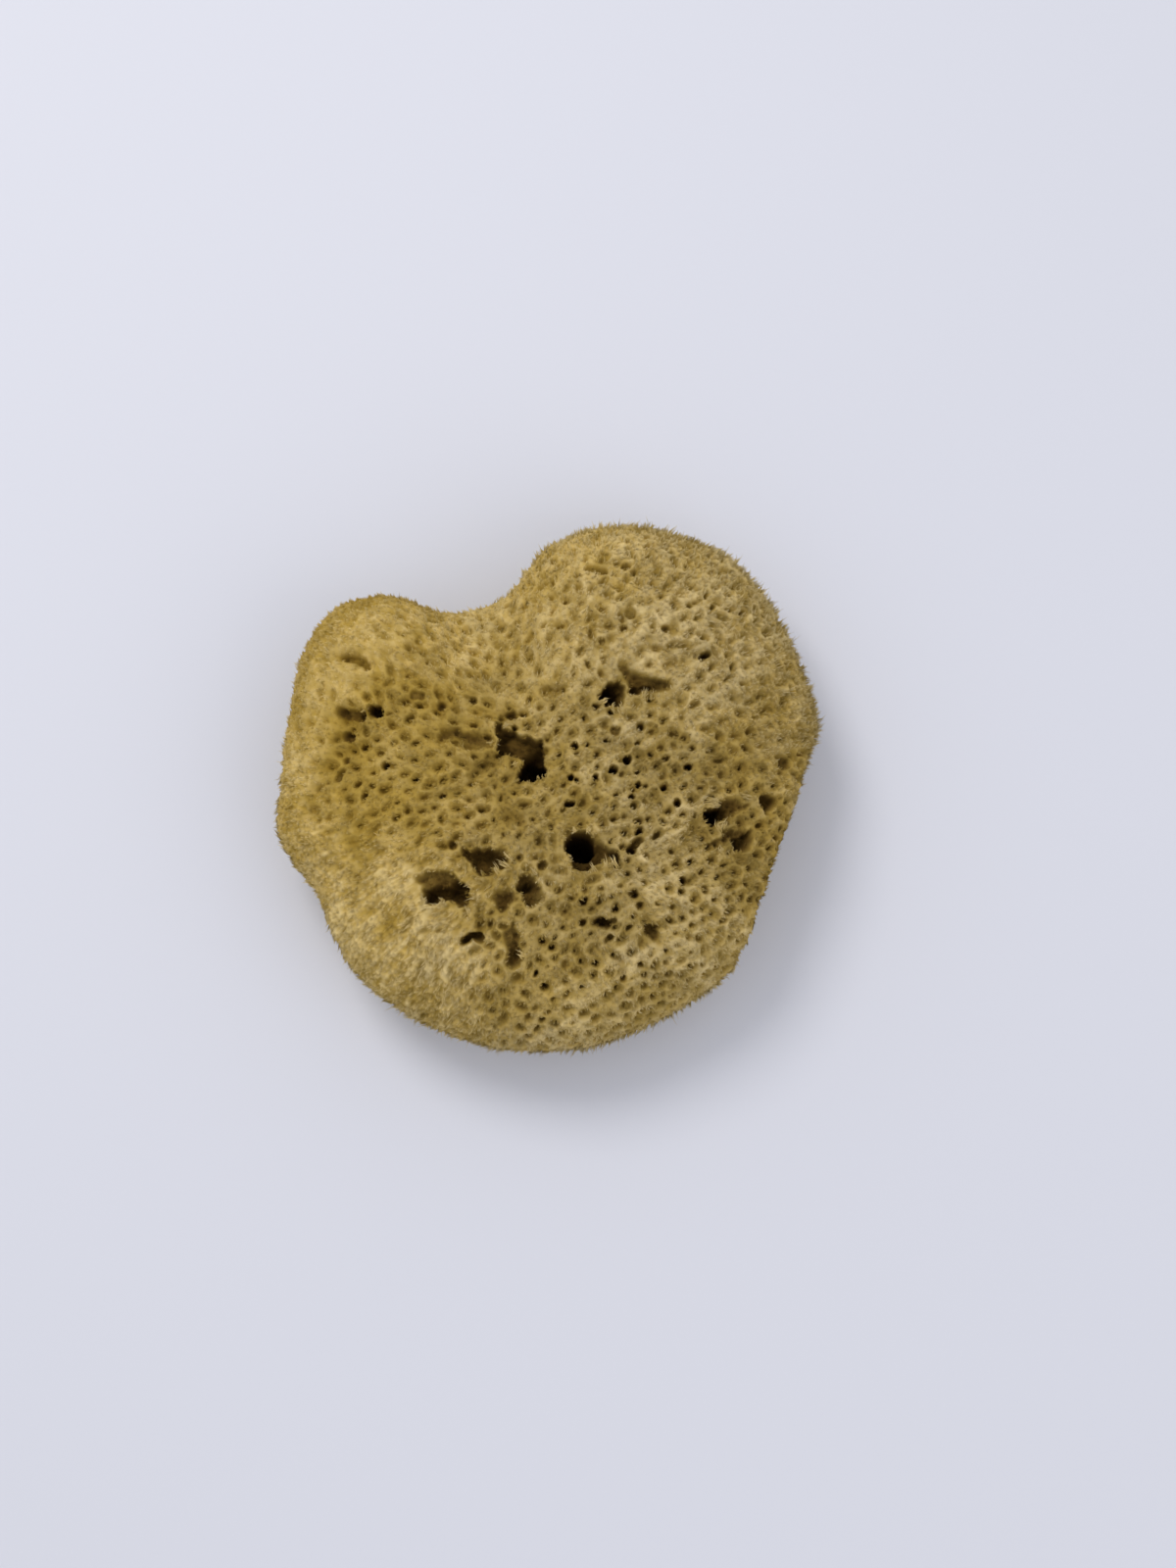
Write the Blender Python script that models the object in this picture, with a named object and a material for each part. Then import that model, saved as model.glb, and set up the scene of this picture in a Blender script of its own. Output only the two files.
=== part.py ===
"""A natural sea sponge for the bath: one soft lobed cushion of fibre, lying face up.

Its back is flat, where it was cut from the sea bed, and one side was trimmed with a knife.
A honeycomb of small cells covers its rounded surface, and the face has the torn mouths of
its canals. Metres, +Z up, with the origin under the middle, on the surface it lies on.
"""

import math
import random

import bmesh
import bpy
import numpy as np
from mathutils import Matrix, Vector, geometry, noise

# Driving sizes of the cushion
CROWN_HEIGHT = 0.0400
WIDEST_HEIGHT = 0.0200
BACK_DEPTH = 0.0320
RIM_FULLNESS = 3.0
SPINE = Vector((0.005, -0.003, 0.0))
UP = Vector((0.0, 0.0, 1.0))

# The widest outline, seen from above, clockwise from the top of the large lobe
OUTLINE = (
    (0.0193, 0.0641), (0.0423, 0.0574), (0.0563, 0.0417), (0.0648, 0.0199), (0.0652, -0.0039),
    (0.0590, -0.0240), (0.0479, -0.0427), (0.0268, -0.0577), (0.0029, -0.0648), (-0.0217, -0.0615),
    (-0.0444, -0.0474), (-0.0552, -0.0272), (-0.0608, -0.0196), (-0.0645, -0.0101), (-0.0631, 0.0108),
    (-0.0615, 0.0239), (-0.0580, 0.0353), (-0.0509, 0.0432), (-0.0420, 0.0460), (-0.0334, 0.0444),
    (-0.0252, 0.0417), (-0.0167, 0.0427), (-0.0093, 0.0463), (-0.0041, 0.0531), (0.0020, 0.0591),
)
CURVE_STEPS = 16

# Soft swellings (+) and hollows (-) of the face: x, y, reach, height
SWELLINGS = (
    (0.026, 0.040, 0.024, 0.0035),
    (-0.044, 0.028, 0.017, 0.0030),
    (-0.016, 0.028, 0.014, -0.0030),
    (0.018, -0.004, 0.026, -0.0022),
    (-0.032, -0.038, 0.021, 0.0022),
    (0.028, -0.036, 0.020, 0.0020),
    (-0.048, -0.006, 0.015, 0.0016),
)
WAVE_LENGTH = 0.017
WAVE_HEIGHT = 0.0011

# The knife cut down the right side: its face's outward normal, and its distance from the origin
TRIM_NORMAL = Vector((0.944, -0.330, -0.090)).normalized()
TRIM_DISTANCE = 0.0555

# Honeycomb cells of the rounded surface, spread at random and sunk at their middles
CELL_SEED = 11
CELL_DARTS = 14000
CELL_SPACING_FACE = 0.0037
CELL_SPACING_SIDE = 0.0057
CELL_DEPTH = (0.0018, 0.0032)
RIDGE_RAGGEDNESS = 0.0005
FOOT_POINTS = 72
MEAN_REACH = 0.060

# Torn canals, each swept along bores: x, y, radius, depth, lean in x, lean in y
CANALS = {
    "middle_funnel": (
        (0.0078, -0.0195, 0.0036, 0.0030, 0.0, 0.0),
        (0.0124, -0.0186, 0.0030, 0.0030, 0.0, 0.0),
    ),
    "middle_mouth": (
        (0.0081, -0.0166, 0.0039, 0.0240, 0.0, 0.12),
    ),
    "upper_slash": (
        (-0.0112, 0.0110, 0.0014, 0.0050, 0.1, 0.0),
        (-0.0062, 0.0071, 0.0033, 0.0068, 0.2, -0.2),
        (-0.0033, 0.0036, 0.0030, 0.0090, 0.2, -0.2),
    ),
    "slash_bottom": (
        (-0.0046, 0.0012, 0.0020, 0.0190, 0.1, -0.2),
        (-0.0020, 0.0012, 0.0020, 0.0190, 0.1, -0.2),
    ),
    "slash_tail": (
        (-0.0256, 0.0095, 0.0021, 0.0030, 0.0, 0.0),
        (-0.0222, 0.0106, 0.0023, 0.0036, 0.0, 0.0),
        (-0.0184, 0.0090, 0.0020, 0.0030, 0.0, 0.0),
        (-0.0130, 0.0072, 0.0016, 0.0030, 0.0, 0.0),
    ),
    "three_cornered_tear": (
        (-0.0194, -0.0184, 0.0012, 0.0050, 0.2, 0.0),
        (-0.0150, -0.0203, 0.0032, 0.0090, 0.0, 0.1),
        (-0.0096, -0.0190, 0.0016, 0.0060, -0.2, 0.0),
    ),
    "shelf": (
        (-0.0297, -0.0246, 0.0019, 0.0030, 0.0, 0.0),
        (-0.0226, -0.0245, 0.0022, 0.0036, 0.0, 0.0),
    ),
    "trench_under_shelf": (
        (-0.0279, -0.0289, 0.0020, 0.0110, 0.0, -0.2),
        (-0.0240, -0.0284, 0.0028, 0.0130, 0.0, -0.2),
        (-0.0190, -0.0296, 0.0024, 0.0100, 0.0, -0.1),
    ),
    "round_hollow": (
        (-0.0046, -0.0262, 0.0026, 0.0075, 0.0, 0.0),
        (-0.0027, -0.0290, 0.0026, 0.0050, 0.0, 0.0),
    ),
    "brown_hollow": (
        (-0.0096, -0.0302, 0.0027, 0.0062, -0.1, -0.1),
    ),
    "curved_slot": (
        (-0.0203, -0.0404, 0.0012, 0.0055, 0.0, 0.0),
        (-0.0182, -0.0392, 0.0013, 0.0062, 0.0, 0.0),
        (-0.0160, -0.0402, 0.0013, 0.0060, 0.0, 0.0),
    ),
    "lower_furrow": (
        (-0.0093, -0.0366, 0.0019, 0.0036, 0.0, 0.0),
        (-0.0083, -0.0411, 0.0024, 0.0050, 0.0, 0.0),
        (-0.0073, -0.0452, 0.0023, 0.0075, 0.0, 0.0),
    ),
    "low_mouth": (
        (0.0137, -0.0359, 0.0020, 0.0085, 0.0, 0.0),
    ),
    "right_crease": (
        (0.0208, -0.0179, 0.0016, 0.0060, -0.2, -0.2),
        (0.0221, -0.0243, 0.0014, 0.0026, 0.0, 0.0),
        (0.0221, -0.0288, 0.0015, 0.0036, 0.0, 0.0),
        (0.0233, -0.0339, 0.0014, 0.0026, 0.0, 0.0),
        (0.0256, -0.0389, 0.0019, 0.0042, 0.0, 0.0),
    ),
    "upper_mouth": (
        (0.0146, 0.0193, 0.0026, 0.0165, -0.1, -0.1),
        (0.0166, 0.0216, 0.0022, 0.0080, -0.2, -0.1),
    ),
    "upper_trough": (
        (0.0179, 0.0232, 0.0022, 0.0046, -0.2, -0.1),
        (0.0221, 0.0232, 0.0020, 0.0036, 0.0, 0.0),
        (0.0282, 0.0226, 0.0017, 0.0036, 0.0, 0.0),
    ),
    "right_tear": (
        (0.0399, -0.0098, 0.0020, 0.0125, 0.0, 0.0),
        (0.0426, -0.0080, 0.0024, 0.0060, 0.0, 0.0),
        (0.0456, -0.0058, 0.0018, 0.0040, 0.0, 0.0),
    ),
    "right_tear_low": (
        (0.0428, -0.0143, 0.0014, 0.0040, 0.0, 0.0),
        (0.0468, -0.0156, 0.0026, 0.0072, 0.1, -0.2),
    ),
    "grey_hollow": (
        (0.0369, -0.0131, 0.0026, 0.0034, 0.0, 0.0),
    ),
    "left_tear": (
        (-0.0502, 0.0152, 0.0020, 0.0042, 0.0, 0.0),
        (-0.0452, 0.0146, 0.0020, 0.0040, 0.0, 0.0),
    ),
    "left_hole": (
        (-0.0406, 0.0157, 0.0017, 0.0090, 0.0, 0.0),
    ),
    "left_slot": (
        (-0.0490, 0.0297, 0.0012, 0.0024, 0.0, 0.0),
        (-0.0442, 0.0282, 0.0013, 0.0028, 0.0, 0.0),
    ),
    "left_furrow": (
        (-0.0486, 0.0032, 0.0013, 0.0026, 0.0, 0.0),
        (-0.0545, -0.0019, 0.0016, 0.0026, 0.0, 0.0),
        (-0.0575, -0.0078, 0.0015, 0.0026, 0.0, 0.0),
    ),
    "lipped_pit": (
        (-0.0018, 0.0205, 0.0015, 0.0034, 0.0, 0.2),
        (0.0020, 0.0205, 0.0015, 0.0034, 0.0, 0.2),
    ),
}

# Lone pits that are deeper than the cells: x, y, radius, depth
PITS = (
    (-0.0219, -0.0171, 0.0015, 0.0042), (-0.0062, -0.0202, 0.0012, 0.0036),
    (-0.0004, -0.0221, 0.0013, 0.0042), (0.0532, -0.0061, 0.0020, 0.0062),
    (-0.0481, 0.0090, 0.0014, 0.0042), (-0.0322, 0.0321, 0.0018, 0.0030),
    (-0.0310, 0.0193, 0.0015, 0.0032), (-0.0252, 0.0175, 0.0013, 0.0042),
    (-0.0189, 0.0247, 0.0019, 0.0030), (0.0203, 0.0392, 0.0018, 0.0034),
    (0.0381, 0.0285, 0.0012, 0.0042), (0.0165, 0.0107, 0.0012, 0.0046),
    (0.0582, 0.0041, 0.0018, 0.0032), (0.0200, 0.0038, 0.0010, 0.0050),
    (0.0163, 0.0017, 0.0012, 0.0050), (0.0345, 0.0414, 0.0013, 0.0034),
)

# Pores in the two flat faces, the back and the trimmed side
PORE_COUNT = 56
PORE_SPACING = 0.0105
PORE_RADIUS = (0.0011, 0.0017)
PORE_DEPTH = 0.0026
PORE_SEED = 5
BARE_PATCH = 0.008

BORE_SIDES = 8
PORE_SIDES = 5
CUTTER_RISE = 0.003
KNIFE_SIZE = 0.2

SPONGE_COLOUR = (0.50, 0.38, 0.15, 1.0)
SPONGE_ROUGHNESS = 0.95


def clear_scene():
    for obj in list(bpy.data.objects):
        bpy.data.objects.remove(obj)


def new_collection(name):
    made = bpy.data.collections.new(name)
    bpy.context.scene.collection.children.link(made)
    return made


def new_object(name, bm, collection):
    mesh = bpy.data.meshes.new(name)
    bm.to_mesh(mesh)
    bm.free()
    made = bpy.data.objects.new(name, mesh)
    collection.objects.link(made)
    return made


def outline_reach():
    """The outline as angles round the spine and distances from it, from a smooth closed curve."""
    points = np.array(OUTLINE) - np.array(SPINE)[:2]
    before, after = np.roll(points, 1, axis=0), np.roll(points, -1, axis=0)
    beyond = np.roll(points, -2, axis=0)
    curve = []
    for t in np.linspace(0.0, 1.0, CURVE_STEPS, endpoint=False):
        curve.append(
            0.5 * (2 * points + (after - before) * t
                   + (2 * before - 5 * points + 4 * after - beyond) * t**2
                   + (3 * points - before - 3 * after + beyond) * t**3)
        )
    curve = np.concatenate(curve)
    angles = np.arctan2(curve[:, 1], curve[:, 0])
    order = np.argsort(angles)
    return angles[order], np.hypot(curve[:, 0], curve[:, 1])[order]


REACH_ANGLES, REACH_DISTANCES = outline_reach()


def reach(angle):
    """How far the widest outline is from the spine, in this direction."""
    return float(np.interp(angle, REACH_ANGLES, REACH_DISTANCES, period=2 * math.pi))


def swelling(x, y):
    """How far the face stands above its plain crown here."""
    height = WAVE_HEIGHT * noise.noise(Vector((x, y, 0.0)) / WAVE_LENGTH)
    for sx, sy, size, rise in SWELLINGS:
        height += rise * math.exp(-((x - sx) ** 2 + (y - sy) ** 2) / size**2)
    return height


def face_height(x, y):
    """Height of the sponge's upper surface over a point of the plan."""
    offset = Vector((x, y, 0.0)) - SPINE
    share = min(offset.length / reach(math.atan2(offset.y, offset.x)), 1.0)
    arch = math.sqrt(1.0 - share**RIM_FULLNESS)
    return WIDEST_HEIGHT + (CROWN_HEIGHT - WIDEST_HEIGHT) * arch + swelling(x, y) * arch


def face_normal(x, y, step=0.001):
    slope_x = (face_height(x + step, y) - face_height(x - step, y)) / (2 * step)
    slope_y = (face_height(x, y + step) - face_height(x, y - step)) / (2 * step)
    return Vector((-slope_x, -slope_y, 1.0)).normalized()


# The slant runs from 0 at the middle of the face to a right angle at the widest outline,
# and on to the edge of the flat back
WIDEST_SLANT = math.pi / 2
FOOT_SLANT = WIDEST_SLANT + math.asin(WIDEST_HEIGHT / BACK_DEPTH)


def section_share(slant):
    """Distance from the spine at this slant, as a share of the outline's."""
    return math.sin(slant) ** (2 / RIM_FULLNESS)


def surface_point(angle, slant):
    """A point of the rounded surface, in a direction round the spine."""
    distance = section_share(slant) * reach(angle)
    x = SPINE.x + distance * math.cos(angle)
    y = SPINE.y + distance * math.sin(angle)
    if slant <= WIDEST_SLANT:
        return Vector((x, y, face_height(x, y)))
    return Vector((x, y, WIDEST_HEIGHT + BACK_DEPTH * math.cos(slant)))


def unrolled_section(steps=240):
    """Slants down the rounded surface, and how far along it each is from the middle."""
    slants = np.linspace(0.0, FOOT_SLANT, steps)
    out = np.array([section_share(s) for s in slants]) * MEAN_REACH
    rise = np.where(slants < WIDEST_SLANT, CROWN_HEIGHT - WIDEST_HEIGHT, BACK_DEPTH)
    lengths = np.hypot(np.diff(out), np.diff(rise * np.cos(slants)))
    return slants, np.concatenate(([0.0], np.cumsum(lengths)))


SECTION_SLANTS, SECTION_LENGTHS = unrolled_section()
FOOT_LENGTH = float(SECTION_LENGTHS[-1])


def lifted(u, v):
    """The point of the rounded surface that lies at u, v when the surface is rolled out flat."""
    slant = float(np.interp(math.hypot(u, v), SECTION_LENGTHS, SECTION_SLANTS))
    return surface_point(math.atan2(v, u), slant)


def cell_spacing(height):
    """Cells are larger low on the sides."""
    low = min(max((CROWN_HEIGHT - height) / (CROWN_HEIGHT - WIDEST_HEIGHT), 0.0), 1.0)
    return CELL_SPACING_FACE + (CELL_SPACING_SIDE - CELL_SPACING_FACE) * low


def cell_middles(chance):
    """Places of the cells on the rolled-out surface, none too near another."""
    flat, solid = [], np.empty((0, 3))
    for _ in range(CELL_DARTS):
        angle = chance.uniform(-math.pi, math.pi)
        length = (FOOT_LENGTH - 0.4 * CELL_SPACING_SIDE) * math.sqrt(chance.random())
        u, v = length * math.cos(angle), length * math.sin(angle)
        point = lifted(u, v)
        gaps = np.linalg.norm(solid - np.array(point), axis=1)
        if not flat or gaps.min() > cell_spacing(point.z):
            flat.append(Vector((u, v)))
            solid = np.vstack((solid, point))
    return flat


def make_body(collection):
    """The whole cushion before it was trimmed: honeycomb over the flat back."""
    chance = random.Random(CELL_SEED)
    foot = []
    for i in range(FOOT_POINTS):
        angle = 2 * math.pi * i / FOOT_POINTS
        foot.append(Vector((FOOT_LENGTH * math.cos(angle), FOOT_LENGTH * math.sin(angle))))
    flat, _, triangles, *_ = geometry.delaunay_2d_cdt(foot + cell_middles(chance), [], [], 0, 1e-7)
    bm = bmesh.new()
    middle_verts = [bm.verts.new(lifted(*place)) for place in flat]
    corner_verts = []
    sides = {}
    for number, triangle in enumerate(triangles):
        centre = sum((flat[i] for i in triangle), Vector((0.0, 0.0))) / 3
        corner_verts.append(bm.verts.new(lifted(*centre)))
        for i, j in zip(triangle, triangle[1:] + triangle[:1]):
            sides.setdefault((min(i, j), max(i, j)), []).append((i, j, number))
    rim = {}
    for uses in sides.values():
        i, j, number = uses[0]
        if len(uses) == 1:
            bm.faces.new((middle_verts[i], middle_verts[j], corner_verts[number]))
            rim[i] = middle_verts[i]
            rim[j] = middle_verts[j]
            continue
        other = uses[1][2]
        bm.faces.new((middle_verts[i], corner_verts[other], corner_verts[number]))
        bm.faces.new((middle_verts[j], corner_verts[number], corner_verts[other]))
    around = sorted(rim.values(), key=lambda v: math.atan2(v.co.y - SPINE.y, v.co.x - SPINE.x))
    bm.faces.new(around)
    bmesh.ops.recalc_face_normals(bm, faces=bm.faces)
    bm.normal_update()
    for vert in corner_verts:
        vert.co += vert.normal * chance.uniform(-RIDGE_RAGGEDNESS, RIDGE_RAGGEDNESS)
    for number, vert in enumerate(middle_verts):
        if number not in rim:
            vert.co -= vert.normal * chance.uniform(*CELL_DEPTH)
    bmesh.ops.triangulate(bm, faces=bm.faces)
    return new_object("sea_sponge", bm, collection)


def add_bore(bm, mouth, direction, radius, depth, sides, end_share):
    """A tapered cutter from above the mouth down to its end, with direction pointing out."""
    length = CUTTER_RISE + depth
    turn = UP.rotation_difference(direction).to_matrix().to_4x4()
    middle = mouth + direction * (CUTTER_RISE - length / 2)
    bmesh.ops.create_cone(
        bm,
        cap_ends=True,
        segments=sides,
        radius1=radius * end_share,
        radius2=radius * (1 + 0.25 * CUTTER_RISE / depth),
        depth=length,
        matrix=Matrix.Translation(middle) @ turn,
    )


def add_canal_bore(bm, bore):
    x, y, radius, depth, lean_x, lean_y = bore
    mouth = Vector((x, y, face_height(x, y)))
    direction = (face_normal(x, y) - Vector((lean_x, lean_y, 0.0))).normalized()
    add_bore(bm, mouth, direction, radius, depth, BORE_SIDES, 0.7)


def wrap_in_hull(bm):
    """Leaves only the convex hull of what the mesh holds."""
    bmesh.ops.delete(bm, geom=bm.edges[:], context="EDGES_FACES")
    hull = bmesh.ops.convex_hull(bm, input=bm.verts)
    inside = [v for v in hull["geom_interior"] if isinstance(v, bmesh.types.BMVert)]
    bmesh.ops.delete(bm, geom=inside, context="VERTS")
    bmesh.ops.recalc_face_normals(bm, faces=bm.faces)


def carve(body, cutter):
    """Takes the cutter's shape out of the body and leaves a plain mesh."""
    cutter.hide_render = True
    cutter.display_type = "WIRE"
    cut = body.modifiers.new("carve", "BOOLEAN")
    cut.operation = "DIFFERENCE"
    cut.solver = "EXACT"
    cut.object = cutter
    graph = bpy.context.evaluated_depsgraph_get()
    mesh = bpy.data.meshes.new_from_object(body.evaluated_get(graph))
    body.modifiers.clear()
    old = body.data
    body.data = mesh
    bpy.data.meshes.remove(old)


def trim_side(body, collection):
    """The straight knife cut down the right side."""
    bm = bmesh.new()
    bmesh.ops.create_cube(bm, size=KNIFE_SIZE)
    turn = UP.rotation_difference(TRIM_NORMAL).to_matrix().to_4x4()
    middle = TRIM_NORMAL * (TRIM_DISTANCE + KNIFE_SIZE / 2)
    bmesh.ops.transform(bm, matrix=Matrix.Translation(middle) @ turn, verts=bm.verts)
    carve(body, new_object("trim_knife", bm, collection))


def cut_canals(body, collection):
    """Each canal is cut as the hulls of its bores, taken two by two along the run."""
    for name, bores in CANALS.items():
        stretches = list(zip(bores, bores[1:])) or [bores]
        for number, stretch in enumerate(stretches):
            bm = bmesh.new()
            for bore in stretch:
                add_canal_bore(bm, bore)
            wrap_in_hull(bm)
            carve(body, new_object(f"{name}_{number}", bm, collection))


def cut_pits(body, collection):
    bm = bmesh.new()
    for x, y, radius, depth in PITS:
        mouth = Vector((x, y, face_height(x, y)))
        add_bore(bm, mouth, face_normal(x, y), radius, depth, PORE_SIDES, 0.6)
    carve(body, new_object("pits", bm, collection))


def pore_places(body):
    """Seeded spots on the flat back and the trimmed side: place, outward normal and radius."""
    chance = random.Random(PORE_SEED)
    body.data.calc_loop_triangles()
    flats = []
    for triangle in body.data.loop_triangles:
        if max(triangle.normal.dot(-UP), triangle.normal.dot(TRIM_NORMAL)) > 0.999:
            flats.append(triangle)
    areas = [t.area for t in flats]
    points = [v.co for v in body.data.vertices]
    places = []
    while len(places) < PORE_COUNT:
        triangle = chance.choices(flats, weights=areas)[0]
        a, b, c = (points[i] for i in triangle.vertices)
        u, v = chance.random(), chance.random()
        if u + v > 1:
            u, v = 1 - u, 1 - v
        spot = a + (b - a) * u + (c - a) * v
        near_pore = any((spot - p).length < PORE_SPACING for p, _, _ in places)
        if spot.length > BARE_PATCH and not near_pore:
            places.append((spot, Vector(triangle.normal), chance.uniform(*PORE_RADIUS)))
    return places


def cut_pores(body, places, collection):
    bm = bmesh.new()
    for spot, normal, radius in places:
        add_bore(bm, spot, normal, radius, PORE_DEPTH, PORE_SIDES, 0.0)
    carve(body, new_object("pores", bm, collection))


def centre_over_origin(body):
    """Moves the mesh so that the origin is under the middle of its box, on the resting face."""
    points = np.array([v.co for v in body.data.vertices])
    low, high = points.min(axis=0), points.max(axis=0)
    shift = Vector((-(low[0] + high[0]) / 2, -(low[1] + high[1]) / 2, -low[2]))
    body.data.transform(Matrix.Translation(shift))


def sponge_material():
    material = bpy.data.materials.new("sponge_fibre")
    material.use_nodes = True
    shader = material.node_tree.nodes["Principled BSDF"]
    shader.inputs["Base Color"].default_value = SPONGE_COLOUR
    shader.inputs["Roughness"].default_value = SPONGE_ROUGHNESS
    shader.inputs["Metallic"].default_value = 0.0
    return material


def main():
    clear_scene()
    parts = new_collection("sea_sponge_parts")
    cutters = new_collection("cutters")
    body = make_body(parts)
    trim_side(body, cutters)
    places = pore_places(body)
    cut_canals(body, cutters)
    cut_pits(body, cutters)
    cut_pores(body, places, cutters)
    centre_over_origin(body)
    body.data.materials.clear()
    body.data.materials.append(sponge_material())


main()
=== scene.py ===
"""The look of the sea sponge: torn, porous, fuzzy sponge fibre in place of the plain solid.

One fine sheet of triangles runs from the middle of the face, over the rim and under the flat back.
Canals, pores and frayed ridges are pushed into it, and tufts of fibre stand on its ridges.
Metres, +Z up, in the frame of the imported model.
"""

import math
from itertools import product
from types import SimpleNamespace

import bpy
import numpy as np
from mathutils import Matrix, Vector, kdtree, noise


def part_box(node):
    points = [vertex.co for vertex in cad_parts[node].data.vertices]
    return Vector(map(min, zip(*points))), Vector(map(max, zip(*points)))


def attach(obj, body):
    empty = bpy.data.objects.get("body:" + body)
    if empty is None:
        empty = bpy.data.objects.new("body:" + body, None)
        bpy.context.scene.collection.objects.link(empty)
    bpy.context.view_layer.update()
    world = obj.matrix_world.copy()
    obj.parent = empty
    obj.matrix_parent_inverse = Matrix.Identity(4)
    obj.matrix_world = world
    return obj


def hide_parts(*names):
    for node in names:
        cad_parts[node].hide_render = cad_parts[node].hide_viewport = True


NODE = "sea_sponge"
MM = 0.001

# Driving sizes of the cushion, as in the solid
CROWN_HEIGHT = 0.0400
WIDEST_HEIGHT = 0.0200
BACK_DEPTH = 0.0320
RIM_FULLNESS = 3.0
SPINE = np.array((0.005, -0.003))
MIDDLE = np.array((*SPINE, WIDEST_HEIGHT))

# The widest outline, seen from above, clockwise from the top of the large lobe
OUTLINE = (
    (0.0193, 0.0641), (0.0423, 0.0574), (0.0563, 0.0417), (0.0648, 0.0199), (0.0652, -0.0039),
    (0.0590, -0.0240), (0.0479, -0.0427), (0.0268, -0.0577), (0.0029, -0.0648), (-0.0217, -0.0615),
    (-0.0444, -0.0474), (-0.0552, -0.0272), (-0.0608, -0.0196), (-0.0645, -0.0101), (-0.0631, 0.0108),
    (-0.0615, 0.0239), (-0.0580, 0.0353), (-0.0509, 0.0432), (-0.0420, 0.0460), (-0.0334, 0.0444),
    (-0.0252, 0.0417), (-0.0167, 0.0427), (-0.0093, 0.0463), (-0.0041, 0.0531), (0.0020, 0.0591),
)
CURVE_STEPS = 64

# Soft swellings (+) and hollows (-) of the face: x, y, reach, height
SWELLINGS = (
    (0.026, 0.040, 0.024, 0.0035),
    (-0.044, 0.028, 0.017, 0.0030),
    (-0.016, 0.028, 0.014, -0.0030),
    (0.018, -0.004, 0.026, -0.0022),
    (-0.032, -0.038, 0.021, 0.0022),
    (0.028, -0.036, 0.020, 0.0020),
    (-0.048, -0.006, 0.015, 0.0016),
)
WAVE_LENGTH = 0.017
WAVE_HEIGHT = 0.0011

# The knife cut down the right side: its face's outward normal, and its distance from the origin
TRIM_NORMAL = np.array((0.944, -0.330, -0.090)) / np.linalg.norm((0.944, -0.330, -0.090))
TRIM_DISTANCE = 0.0555

# The tables of mouths, holes and hollows are drawn a little larger than they stand, about this point
DRAWN_ABOUT = np.array((0.019, -0.0766))
DRAWN_SCALE = 0.982

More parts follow.
